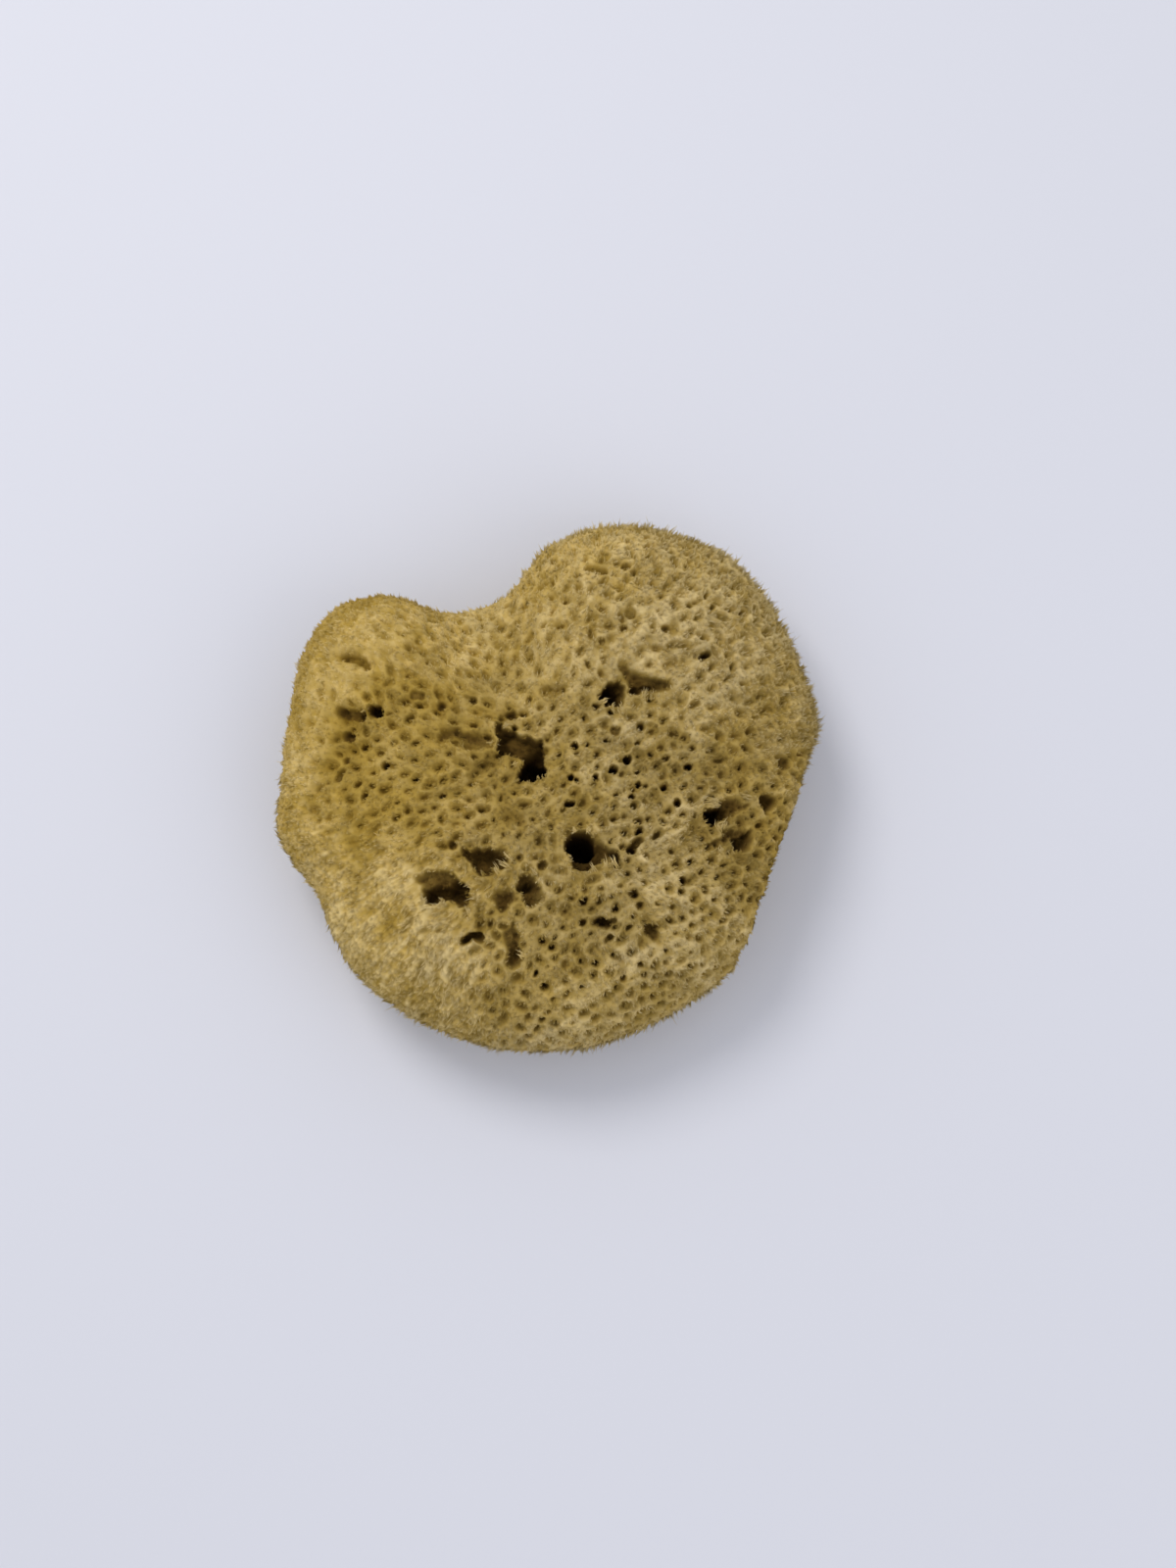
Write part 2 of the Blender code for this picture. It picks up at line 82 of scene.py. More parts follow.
# Torn mouths, in millimetres: the outline of each, then floor spots as x, y, depth
TEARS = {
    "upper_slash": (
        ((-12.1, 12.6), (-10.5, 12.4), (-10.3, 11.0), (-8.8, 10.8), (-6.4, 9.5), (-4.3, 9.3), (-2.9, 8.2),
         (-1.3, 8.1), (-0.6, 4.8), (-0.7, 2.4), (0.1, 0.6), (-0.4, -1.2), (-3.9, -1.4), (-5.6, -1.3),
         (-6.5, -0.1), (-5.9, 1.2), (-5.2, 2.6), (-6.0, 3.6), (-8.5, 4.5), (-11.0, 5.2), (-11.8, 5.7),
         (-11.2, 8.3), (-12.3, 9.5)),
        ((-11.2, 11.5, 4.0), (-10.2, 9.6, 6.6), (-10.8, 7.4, 6.4), (-7.9, 7.6, 4.0), (-5.0, 6.9, 4.0),
         (-5.7, 5.0, 4.2), (-2.7, 7.0, 4.8), (-1.5, 5.4, 6.4), (-1.8, 3.3, 8.0), (-3.4, 0.7, 15.0),
         (-1.5, 0.0, 15.0), (-5.0, -0.2, 12.0)),
    ),
    "middle_funnel": (
        ((6.0, -20.2), (6.4, -22.8), (9.7, -23.0), (11.2, -21.4), (13.0, -21.5), (13.9, -20.0),
         (15.6, -19.3), (15.9, -20.9), (16.9, -20.6), (16.7, -18.8), (14.6, -17.3), (12.8, -15.4),
         (11.9, -13.6), (10.4, -17.0), (8.0, -18.5)),
        ((7.8, -21.6, 5.6), (9.6, -21.8, 5.6), (12.4, -18.6, 4.4), (12.4, -15.4, 1.8), (14.0, -18.6, 3.0),
         (16.3, -20.0, 7.0)),
    ),
    "left_shelf": (
        ((-26.3, 9.4), (-24.8, 11.1), (-21.5, 11.8), (-20.1, 10.8), (-16.7, 9.9), (-13.4, 9.4), (-11.7, 7.9),
         (-12.9, 6.0), (-15.8, 5.5), (-18.6, 6.5), (-20.1, 7.9), (-22.5, 8.6), (-25.8, 8.1)),
        ((-24.4, 10.0, 1.7), (-21.5, 10.6, 2.1), (-18.0, 9.0, 1.9), (-14.0, 8.4, 2.0), (-22.6, 8.8, 1.0),
         (-17.0, 6.6, 0.9), (-13.6, 6.8, 1.3)),
    ),
    "three_cornered_tear": (
        ((-20.0, -17.8), (-18.4, -18.3), (-15.8, -18.2), (-13.9, -17.7), (-12.1, -18.1), (-10.2, -17.3),
         (-8.8, -17.6), (-9.0, -20.0), (-9.1, -21.9), (-10.7, -22.7), (-12.1, -22.3), (-12.8, -24.0),
         (-14.4, -24.7), (-15.7, -24.5), (-17.0, -23.2), (-18.4, -21.2), (-19.3, -19.6)),
        ((-18.8, -18.9, 4.2), (-14.0, -18.9, 5.4), (-16.5, -19.2, 5.0), (-15.4, -21.2, 4.6),
         (-14.4, -23.8, 3.6), (-11.4, -20.6, 4.8), (-9.8, -18.4, 2.0)),
    ),
    "shelf_and_trench": (
        ((-31.5, -24.5), (-31.3, -25.9), (-29.6, -26.4), (-28.9, -28.0), (-28.7, -30.9), (-26.8, -31.4),
         (-25.2, -30.7), (-23.3, -30.2), (-21.9, -30.8), (-20.5, -32.2), (-18.9, -32.3), (-17.9, -31.1),
         (-16.0, -31.4), (-16.7, -30.4), (-18.1, -29.0), (-19.1, -26.9), (-20.5, -25.4), (-21.4, -24.0),
         (-22.8, -23.1), (-25.6, -22.8), (-28.5, -22.9), (-30.3, -23.9)),
        ((-30.3, -25.0, 2.4), (-27.5, -24.6, 2.2), (-24.7, -24.8, 2.3), (-22.4, -24.9, 2.2),
         (-27.6, -26.3, 2.5), (-23.6, -26.4, 2.7), (-27.7, -29.4, 7.5), (-25.9, -29.0, 6.6),
         (-24.0, -28.6, 6.2), (-22.1, -28.6, 6.8), (-20.6, -27.2, 6.0), (-20.0, -29.7, 6.8),
         (-19.1, -31.2, 4.6), (-17.2, -30.6, 2.6)),
    ),
    "brown_hollow": (
        ((-12.2, -30.2), (-11.4, -28.5), (-10.2, -27.1), (-8.7, -27.6), (-7.4, -28.9), (-6.8, -29.8),
         (-7.8, -31.5), (-9.0, -32.8), (-10.4, -33.2), (-11.8, -31.7)),
        ((-10.0, -28.4, 1.6), (-9.5, -30.2, 2.9), (-10.3, -32.4, 3.2), (-8.2, -30.0, 2.7)),
    ),
    "round_hollow": (
        ((-6.2, -24.2), (-3.6, -24.1), (-2.2, -24.7), (-1.5, -26.1), (-0.8, -27.7), (0.6, -29.1),
         (-0.1, -30.8), (-1.8, -31.7), (-2.9, -32.8), (-4.1, -31.9), (-5.0, -30.8), (-5.5, -29.1),
         (-6.7, -27.7), (-6.6, -25.9)),
        ((-5.2, -25.4, 3.4), (-3.9, -27.0, 6.4), (-3.6, -29.2, 3.0), (-2.9, -31.6, 3.0),
         (-0.9, -29.2, 1.5), (-2.6, -25.6, 3.2)),
    ),
    "lower_furrow": (
        ((-10.8, -38.0), (-9.5, -36.3), (-7.6, -36.1), (-6.6, -37.7), (-5.6, -39.0), (-6.0, -40.4),
         (-5.4, -42.1), (-5.7, -44.2), (-6.2, -45.9), (-7.6, -46.7), (-8.9, -45.9), (-9.7, -44.5),
         (-9.3, -42.8), (-10.4, -40.9)),
        ((-8.7, -38.0, 2.1), (-8.8, -40.2, 2.3), (-7.2, -41.4, 2.9), (-6.8, -44.0, 4.2),
         (-8.8, -44.2, 3.2), (-7.6, -45.8, 3.2)),
    ),
    "upper_mouth": (
        ((17.3, 22.7), (18.8, 21.4), (19.1, 19.5), (18.7, 17.5), (17.7, 16.2), (16.3, 16.9), (14.4, 16.4),
         (14.4, 18.1), (13.0, 18.1), (12.4, 18.8), (13.7, 20.2), (15.0, 21.9)),
        ((14.2, 19.6, 12.0), (14.8, 17.8, 11.0), (16.4, 19.2, 7.0), (17.6, 20.4, 3.8), (18.2, 18.4, 3.4),
         (13.2, 18.9, 8.0)),
    ),
    "upper_trough": (
        ((17.4, 26.4), (18.9, 26.9), (20.5, 25.2), (22.1, 24.3), (24.0, 24.4), (26.3, 23.6), (28.2, 23.1),
         (30.2, 22.8), (30.4, 21.4), (29.9, 19.7), (28.7, 19.6), (26.3, 20.1), (23.1, 20.3), (22.1, 19.3),
         (20.5, 19.3), (19.6, 20.9), (18.4, 23.8)),
        ((19.1, 25.8, 2.6), (20.6, 23.4, 2.5), (21.0, 21.6, 2.8), (24.0, 22.6, 2.8), (26.4, 22.4, 3.2),
         (29.3, 21.9, 2.5), (21.2, 20.2, 5.0), (23.8, 20.4, 4.6), (28.0, 20.4, 2.2)),
    ),
    "right_tear": (
        ((38.0, -8.4), (40.2, -8.1), (41.7, -7.7), (41.4, -6.5), (43.2, -5.4), (45.5, -5.4), (47.7, -6.7),
         (49.2, -6.7), (49.6, -7.7), (47.0, -8.4), (45.5, -9.9), (44.0, -10.9), (42.5, -10.7),
         (41.0, -11.8), (39.9, -12.6), (38.7, -11.5), (38.0, -9.9)),
        ((39.4, -9.4, 11.0), (40.8, -9.2, 11.0), (39.8, -11.4, 7.0), (43.4, -7.2, 3.4), (45.0, -7.4, 2.5),
         (44.4, -9.4, 2.3), (47.8, -7.4, 2.8), (42.4, -9.4, 5.0)),
    ),
    "right_tear_low": (
        ((43.2, -13.0), (45.5, -12.4), (48.1, -12.6), (49.9, -13.7), (50.1, -15.6), (49.2, -17.1),
         (48.1, -17.9), (45.5, -18.1), (45.1, -16.8), (44.2, -15.6), (43.2, -16.8), (41.7, -16.4),
         (40.2, -17.5), (38.7, -18.5), (37.6, -18.3), (37.6, -17.1), (39.5, -16.0), (41.4, -15.1),
         (42.5, -14.1)),
        ((47.2, -16.9, 6.2), (46.0, -16.6, 5.4), (48.6, -16.0, 4.6), (46.6, -13.8, 2.0), (44.4, -14.2, 2.4),
         (42.4, -15.4, 2.4), (39.6, -17.0, 2.4), (38.4, -17.8, 3.0)),
    ),
}

# Small holes, each swept along bores, in millimetres: x, y, radius, depth
HOLES = (
    ((8.1, -16.9, 3.5, 24.0),),
    ((-19.4, -40.3, 1.1, 4.8), (-18.2, -39.2, 1.2, 4.4), (-16.0, -39.4, 1.2, 3.2)),
    ((13.2, -35.6, 1.5, 5.0), (14.4, -36.0, 1.4, 3.6)), ((16.0, -35.4, 1.0, 2.2),),
    ((15.5, -39.5, 0.9, 2.6),),
    ((20.5, -18.3, 1.2, 6.0),), ((21.4, -17.1, 1.0, 3.0), (22.4, -15.8, 0.9, 2.0)),
    ((22.4, -13.4, 0.9, 5.0),),
    ((21.2, -29.0, 1.3, 2.6),),
    ((24.6, -37.8, 1.3, 2.6), (25.8, -39.2, 1.1, 2.2)),
    ((22.4, -32.0, 1.0, 2.2),),
    ((-50.2, 15.8, 1.2, 2.6), (-48.6, 15.4, 1.3, 1.5), (-46.6, 14.9, 1.3, 1.5), (-44.6, 14.4, 1.2, 2.6)),
    ((-49.6, 29.6, 0.9, 1.5), (-46.8, 29.2, 1.0, 1.1), (-44.2, 28.2, 1.0, 1.1), (-43.4, 26.4, 0.8, 1.5)),
    ((-41.9, 15.5, 1.1, 6.0), (-40.3, 15.1, 1.6, 7.0)),
    ((-48.4, 9.6, 1.3, 2.8), (-47.4, 9.0, 1.1, 2.4)),
    ((-48.4, 3.8, 1.0, 1.8),), ((-50.3, -0.6, 1.1, 1.8),),
    ((-22.1, -17.1, 1.2, 2.2),), ((-6.2, -20.2, 1.1, 2.0),), ((-0.9, -22.0, 1.2, 2.4),),
    ((53.5, -6.2, 2.2, 3.8),),
    ((-31.6, 19.4, 1.3, 1.8), (-30.2, 19.1, 1.0, 1.6)),
    ((-25.2, 17.5, 1.1, 2.0),), ((-18.0, 18.3, 1.1, 2.0),),
    ((38.1, 28.5, 0.9, 4.6), (39.3, 29.6, 0.8, 3.8)),
    ((16.4, 1.2, 1.1, 6.4),), ((19.9, 3.6, 1.0, 6.0),), ((22.2, -2.2, 0.8, 4.6),), ((6.0, -0.9, 0.8, 5.0),),
    ((5.0, -7.0, 0.8, 5.0), (6.4, -7.2, 0.7, 4.6)), ((11.9, -0.7, 0.8, 4.6),), ((20.8, -5.4, 0.8, 4.8),),
    ((31.4, -6.6, 0.9, 5.0),), ((34.2, 1.6, 0.9, 4.4),), ((32.9, -25.6, 0.8, 5.4),),
    ((-8.2, 14.2, 1.3, 2.6),), ((6.9, 6.7, 0.8, 4.0),), ((16.4, 10.7, 1.2, 2.0),),
    ((10.3, 52.0, 1.3, 1.3), (13.6, 51.0, 1.3, 1.5)), ((19.2, 52.3, 1.2, 1.4),),
    ((20.2, 39.2, 1.5, 1.6),), ((34.8, 41.6, 0.9, 1.8),), ((40.4, 42.0, 0.9, 1.6),),
    ((29.2, 35.4, 1.1, 1.8),), ((18.6, 35.2, 1.0, 1.6),), ((13.5, 32.3, 1.0, 1.6),),
    ((58.2, 4.1, 1.6, 1.8),), ((-38.2, 1.9, 0.9, 4.0),),
    ((-2.2, -47.8, 0.8, 4.2),), ((-0.1, -50.9, 0.8, 3.8),), ((-0.8, -58.2, 0.9, 3.6),),
    ((18.6, -48.8, 0.7, 2.4),),
)

# Soft hollows in which the pores and tufts go on, in millimetres: x, y, reach, depth
DIPS = (
    (17.0, -21.6, 2.4, 1.4), (20.0, -24.6, 2.2, 1.6), (21.6, -29.0, 2.4, 1.8), (23.4, -34.4, 2.2, 1.5),
    (25.4, -38.6, 2.4, 1.8), (37.2, -13.2, 2.8, 2.6), (-25.6, 9.6, 2.6, 1.5), (-21.6, 9.8, 2.6, 1.6),
    (-17.2, 8.2, 2.4, 1.4), (-13.0, 14.6, 2.0, 1.4), (-9.8, 14.6, 1.8, 1.4), (-17.6, -0.9, 1.2, 1.5),
    (-16.2, 0.3, 1.2, 1.6), (-14.6, 1.7, 1.3, 1.7), (-13.0, 3.2, 1.4, 1.5), (-11.4, 4.4, 1.4, 1.2),
    (-9.8, -10.0, 1.6, 1.2), (-7.4, -10.2, 1.6, 1.3), (-5.8, -10.0, 1.2, 1.2), (-49.2, 15.2, 2.4, 1.6),
    (-46.0, 14.8, 2.2, 1.5), (-52.0, 1.4, 2.0, 1.5), (-55.2, -3.2, 2.2, 1.8), (-57.2, -8.2, 2.2, 1.8),
    (-49.2, 30.0, 1.7, 1.8), (-46.2, 28.6, 1.8, 2.2), (-43.2, 27.4, 1.5, 1.5), (-32.4, 32.0, 2.2, 2.2),
    (-24.4, 18.0, 2.6, 1.8), (-47.6, 12.2, 3.6, 1.6), (-48.6, 5.6, 2.6, 1.4), (-15.6, -36.8, 2.6, 1.6),
    (1.6, 20.0, 2.6, 0.8), (-0.2, 20.4, 1.3, 1.5), (2.2, 20.2, 1.3, 1.7), (47.6, -10.8, 3.4, 1.6),
    (9.8, -18.6, 6.0, 1.8), (-19.0, -26.0, 10.0, 1.6), (53.5, -6.2, 3.2, 0.9), (58.2, 4.1, 2.6, 0.9),
    (4.0, -33.0, 4.0, 0.9), (-2.0, -38.0, 3.2, 1.0), (25.8, 30.2, 3.4, 1.2), (30.6, 27.2, 2.4, 1.4),
    (15.4, 52.2, 4.2, 1.0), (41.0, 28.4, 2.8, 1.2), (17.6, -44.6, 1.1, 1.6), (18.2, -47.4, 1.1, 1.4),
)

# Pale strands torn loose at the lips of the mouths, in millimetres: root x, y, then tip x, y
STRANDS = (
    (38.4, -6.2, 41.9, -6.3), (38.2, -7.3, 41.6, -7.5), (41.9, -12.9, 43.2, -11.0),
    (41.6, -12.8, 40.9, -11.7), (42.3, -12.6, 42.3, -11.2), (41.5, -19.0, 41.9, -16.9),
    (43.8, -18.6, 44.0, -16.0), (47.0, -4.9, 49.3, -5.3), (11.5, -23.9, 11.0, -21.4),
    (14.4, -22.9, 14.1, -20.4), (16.6, -22.5, 15.8, -19.8), (10.1, -12.7, 10.3, -14.3),
    (6.8, -12.9, 6.6, -14.1), (-13.8, 7.9, -11.3, 7.7), (-8.1, 12.3, -10.5, 10.9),
    (-7.6, 2.3, -5.2, 3.4), (-8.4, -22.6, -11.0, -21.2),
    (-8.0, -21.0, -9.9, -18.9), (-11.0, -24.0, -12.4, -22.1), (-29.6, -31.4, -28.4, -29.6),
    (-24.6, -32.0, -24.2, -30.2), (-18.2, -33.6, -18.6, -31.4), (13.3, 17.5, 14.9, 18.3),
    (16.1, 15.4, 15.9, 17.0), (18.3, 15.0, 17.7, 16.5), (23.4, 18.2, 23.9, 20.6), (25.2, 18.4, 25.2, 20.6),
    (-44.6, 16.0, -42.4, 17.4), (-3.0, -22.9, -2.0, -25.0), (-16.2, -41.2, -17.4, -39.9),
    (-5.0, -43.6, -6.6, -42.6),
)
STRAND_SPIKES = 9

# The belt of crisp pores over the middle of the face; away from it the fibre is fuzzy
CRISP_BELT = (
    (-0.0310, 0.0030), (0.0100, 0.0005), (0.0427, -0.0162), (0.0310, -0.0447), (0.0076, -0.0471),
)
CRISP_CORE = 0.014
CRISP_EDGE = 0.032

# From left to right, between these two places, the fibre goes over to being combed slantwise
COMBED_FROM = (-0.030, 0.010)

# Spacing of the fine sheet's points on the face, down the sides and on the back, and how fast the last grows
STEP_FACE = 0.00034
STEP_SIDE = 0.00052
STEP_BACK = 0.00095
STEP_GROWTH = 1.04

# Shares of the sheet's triangles at which its pieces begin and end
SHEET_CUTS = (0.0, 0.34, 0.67, 1.0)

# Pores: least spacing where they are crisp, how much more where they are not, and their soft funnels
PORE_SPACING = 0.0029
PORE_SPREAD = 0.0004
SMALL_SPACING = 0.0016
FUNNEL_RADIUS = 0.0017
FUNNEL_DEPTH = 0.00074
LEANING = 0.22

# Least and greatest radius and depth of the pores, in millimetres
LARGE_RADIUS = (0.46, 0.88)
SMALL_RADIUS = (0.26, 0.42)
LARGE_DEPTH = (0.55, 1.35)
DEEP_DEPTH = (1.6, 3.0)
SMALL_DEPTH = (0.15, 0.50)

# How far down a mouth's floor has fewer pores, and has no pores or tufts
FEW_BELOW = 1.2 * MM
NONE_BELOW = 4.5 * MM

# How many places are tried for pores and for tufts
PORE_TRIES = 60000
TUFT_TRIES = 90000

# The way that pores open out, and that fibres are combed over the middle of the face
OPEN_WAY = np.array((0.87, 0.50, 0.0))
CROSS_WAY = np.array((-0.50, 0.87, 0.0))

# Streaks that run out over the rim: how many round it, their length, and their seed
WIDE_STREAKS = (320.0, 0.0046, 95)
FINE_STREAKS = (750.0, 0.0026, 96)

# Tufts: spacing in millimetres where the pores are crisp, how much more where they are not, and the share
# of the spacing that a tuft's hump reaches
TUFT_SPACING = 0.84
TUFT_SPREAD = 0.30
TUFT_FOOT = 0.62

# Straight spikes in each tuft, besides one hooked one, and the spikes' radii at the root in millimetres
SPIKES_EACH = 8
STRAIGHT_RADIUS = (0.075, 0.140)
HOOKED_RADIUS = (0.085, 0.125)
STRAND_RADIUS = (0.13, 0.19)

# How much darker than its place each corner of a spike is, from the root to the tip: + is painted shade at
# the roots among the fibres, - is painted light on the bends and tips
STRAIGHT_SHADE = (0.7, 0.7, 0.7, -1.1)
HOOKED_SHADE = (0.7, 0.7, 0.7, -0.5, -0.5, -0.5, -1.5)
STRAND_SHADE = (0.3, 0.3, 0.3, -0.3, -0.3, -0.3, -1.0)
STRAND_TONE = 0.4

# No fibre comes nearer to the floor than this
LEAST_HEIGHT = 0.0002

# Colours down into the sponge, where it is yellow and where it is greyer: browner, and darker as painted
# shade, down into the pores and mouths, to nearly black at the bottom
YELLOW_FIBRE = (
    (0.0, (0.69, 0.525, 0.225)), (0.10, (0.49, 0.340, 0.100)), (0.18, (0.38, 0.250, 0.048)),
    (0.30, (0.26, 0.160, 0.020)), (0.50, (0.145, 0.078, 0.010)), (1.0, (0.045, 0.022, 0.004)),
)
# The greyer fibre is also painted darker than the yellow, as shade over the middle and right
GREY_SHADED_FIBRE = (
    (0.0, (0.60, 0.475, 0.250)), (0.10, (0.365, 0.265, 0.098)), (0.18, (0.270, 0.186, 0.050)),
    (0.30, (0.195, 0.127, 0.032)), (0.50, (0.112, 0.064, 0.013)), (1.0, (0.040, 0.021, 0.004)),
)
SHADE_RANGE = (-1.0, 9.0)

SEED = 3


def ease(low, high, value):
    """A smooth run from 0 at low to 1 at high, level beyond both."""
    t = np.clip((value - low) / (high - low), 0.0, 1.0)
    return t * t * (3 - 2 * t)


def grain(points, size, seed):
    """Smooth random values from -1 to 1 that change over about this size."""
    side = 40
    lattice = np.random.default_rng(seed).uniform(-1.0, 1.0, (side, side, side))
    scaled = points / size + 1000.0
    cell = np.floor(scaled).astype(int)
    t = scaled - cell
    t = t * t * (3 - 2 * t)
    low, high = cell % side, (cell + 1) % side
    total = 0.0
    for corner in range(8):
        picks = []
        weight = 1.0
        for axis in range(3):
            upper = corner >> axis & 1
            picks.append(high[:, axis] if upper else low[:, axis])
            weight = weight * (t[:, axis] if upper else 1 - t[:, axis])
        total = total + weight * lattice[picks[0], picks[1], picks[2]]
    return total


def grain_way(points, size, seed):
    """Such random values for each of the three directions."""
    return np.column_stack([grain(points, size, seed + k) for k in range(3)])


def unit(vectors):
    """The same directions, each 1 long."""
    return vectors / np.maximum(np.linalg.norm(vectors, axis=1), 1e-9)[:, None]


def tree_of(points):
    """Search tree over the points."""
    tree = kdtree.KDTree(len(points))
    for number, place in enumerate(points.tolist()):
        tree.insert(place, number)
    tree.balance()
    return tree


# Points of the smooth cushion


def closed_outline():
    """Smooth closed curve through the outline, counter-clockwise, and the way travelled to each point."""
    points = np.array(OUTLINE)[::-1]
    before, after = np.roll(points, 1, axis=0), np.roll(points, -1, axis=0)
    beyond = np.roll(points, -2, axis=0)
    t = np.linspace(0.0, 1.0, CURVE_STEPS, endpoint=False)[None, :, None]
    curve = 0.5 * (
        2 * points[:, None] + (after - before)[:, None] * t
        + (2 * before - 5 * points + 4 * after - beyond)[:, None] * t**2
        + (3 * points - before - 3 * after + beyond)[:, None] * t**3
    )
    curve = curve.reshape(-1, 2)
    curve = np.vstack((curve, curve[:1]))
    travelled = np.concatenate(([0.0], np.cumsum(np.linalg.norm(np.diff(curve, axis=0), axis=1))))
    return curve, travelled


CURVE, TRAVELLED = closed_outline()
OUTLINE_LENGTH = TRAVELLED[-1]
WIDEST_SLANT = math.pi / 2
FOOT_SLANT = WIDEST_SLANT + math.asin(WIDEST_HEIGHT / BACK_DEPTH)


def swelling(plan):
    """How far the face stands above its plain crown."""
    height = np.array([noise.noise((x / WAVE_LENGTH, y / WAVE_LENGTH, 0.0)) for x, y in plan])
    height *= WAVE_HEIGHT
    for sx, sy, size, rise in SWELLINGS:
        height += rise * np.exp(-((plan[:, 0] - sx) ** 2 + (plan[:, 1] - sy) ** 2) / size**2)
    return height


def cushion_points(along, share, slant):
    """Points of the smooth cushion: how far round the outline, how far out, and the section's slant."""
    length = (along % 1.0) * OUTLINE_LENGTH
    out = np.stack([np.interp(length, TRAVELLED, CURVE[:, k]) for k in range(2)], axis=1)
    plan = SPINE + share[:, None] * (out - SPINE)
    arch = np.cos(slant)
    upper = WIDEST_HEIGHT + (CROWN_HEIGHT - WIDEST_HEIGHT) * arch + swelling(plan) * np.maximum(arch, 0)
    lower = WIDEST_HEIGHT + BACK_DEPTH * arch
    height = np.maximum(np.where(slant <= WIDEST_SLANT, upper, lower), 0.0)
    offset = plan - SPINE
    room = TRIM_DISTANCE - SPINE @ TRIM_NORMAL[:2] - height * TRIM_NORMAL[2]
    reach = offset @ TRIM_NORMAL[:2]
    scale = np.where(reach > room, room / np.maximum(reach, room), 1.0)
    plan = SPINE + offset * scale[:, None]
    return np.column_stack((plan, height))


def ring_plan():
    """The sheet's rings, from the middle of the face to the middle of the back: share, slant, step."""
    mean_reach = OUTLINE_LENGTH / (2 * math.pi)
    rings = [(0.0, 0.0, STEP_FACE)]
    slants = np.linspace(0.0, FOOT_SLANT, 4000)
    shares = np.sin(slants) ** (2 / RIM_FULLNESS)
    rise = np.where(slants < WIDEST_SLANT, CROWN_HEIGHT - WIDEST_HEIGHT, BACK_DEPTH)
    lengths = np.concatenate(
        ([0.0], np.cumsum(np.hypot(np.diff(shares) * mean_reach, np.diff(rise * np.cos(slants)))))
    )
    at = 0.0
    while at < lengths[-1]:
        slant = np.interp(at, lengths, slants)
        step = STEP_FACE + (STEP_SIDE - STEP_FACE) * ease(1.2, 1.6, slant)
        at += step
        if at < lengths[-1]:
            slant = np.interp(at, lengths, slants)
            rings.append((math.sin(slant) ** (2 / RIM_FULLNESS), slant, step))
    share = shares[-1]
    step = STEP_SIDE
    while share * mean_reach > 1.5 * step:
        rings.append((share, FOOT_SLANT, step))
        step = min(step * STEP_GROWTH, STEP_BACK)
        share -= step / mean_reach
    rings.append((0.0, FOOT_SLANT, step))
    return rings


def zip_rings(first_a, count_a, shift_a, first_b, count_b, shift_b):
    """Triangles between two rings of points, each with its own count and shift round the outline."""
    i = np.arange(count_a)
    j = np.arange(count_b)
    near_b = np.ceil((i + shift_a + 0.5) / count_a * count_b - shift_b - 0.5).astype(int) % count_b
    near_a = np.floor((j + shift_b + 0.5) / count_b * count_a - shift_a + 0.5).astype(int) % count_a
    inner = np.column_stack((first_a + i, first_b + near_b, first_a + (i + 1) % count_a))
    outer = np.column_stack((first_b + j, first_b + (j + 1) % count_b, first_a + near_a))
    return [inner, outer]


def fine_sheet():
    """Points and triangles of the whole smooth cushion, each point's slant, and its place unrolled."""
    along, share, slant, section, triangles = [], [], [], [], []
    first, count, shift, total, travelled = 0, 1, 0.0, 0, 0.0
    for number, (ring_share, ring_slant, step) in enumerate(ring_plan()):
        least = 1 if ring_share == 0 else 6
        new_count = max(int(round(ring_share * OUTLINE_LENGTH / step)), least)
        new_shift = 0.5 * (number % 2)
        along.append((np.arange(new_count) + new_shift) / new_count)
        share.append(np.full(new_count, ring_share))
        slant.append(np.full(new_count, ring_slant))
        section.append(np.full(new_count, travelled))
        travelled += step
        if number:
            if count == 1:
                j = np.arange(new_count)
                triangles.append(np.column_stack((first + 0 * j, total + j, total + (j + 1) % new_count)))
            elif new_count == 1:
                i = np.arange(count)
                triangles.append(np.column_stack((first + i, total + 0 * i, first + (i + 1) % count)))
            else:
                triangles += zip_rings(first, count, shift, total, new_count, new_shift)
        first, count, shift = total, new_count, new_shift
        total += new_count
    slant = np.concatenate(slant)
    along = np.concatenate(along) % 1.0
    points = cushion_points(along, np.concatenate(share), slant)
    unrolled = np.column_stack((along, np.concatenate(section)))
    return points, np.concatenate(triangles), slant, unrolled


def point_normals(points, triangles):
    a, b, c = (points[triangles[:, k]] for k in range(3))
    face = np.cross(b - a, c - a)
    total = np.zeros_like(points)
    for k in range(3):
        for axis in range(3):
            total[:, axis] += np.bincount(triangles[:, k], face[:, axis], len(points))
    return total / np.maximum(np.linalg.norm(total, axis=1), 1e-12)[:, None]


# Canals, pores and ridges


def belt_distance(plan):
    """Distance in plan from the belt of crisp pores."""
    best = np.full(len(plan), 1.0)
    belt = np.array(CRISP_BELT)
    for a, b in zip(belt, belt[1:]):
        t = np.clip((plan - a) @ (b - a) / ((b - a) @ (b - a)), 0.0, 1.0)
        best = np.minimum(best, np.linalg.norm(plan - a - t[:, None] * (b - a), axis=1))
    return best


def crispness(points):
    """1 where pores are crisp and open, 0 where the fibre is fuzzy."""
    wander = 0.006 * grain(points, 0.012, 21)
    crisp = 1 - ease(CRISP_CORE, CRISP_EDGE, belt_distance(points[:, :2]) + wander)
    halfway = 0.42 * ease(-0.040, 0.0, points[:, 0] + 0.5 * points[:, 1] + 0.5 * wander)
    return np.maximum(crisp, halfway) * ease(0.014, 0.028, points[:, 2])


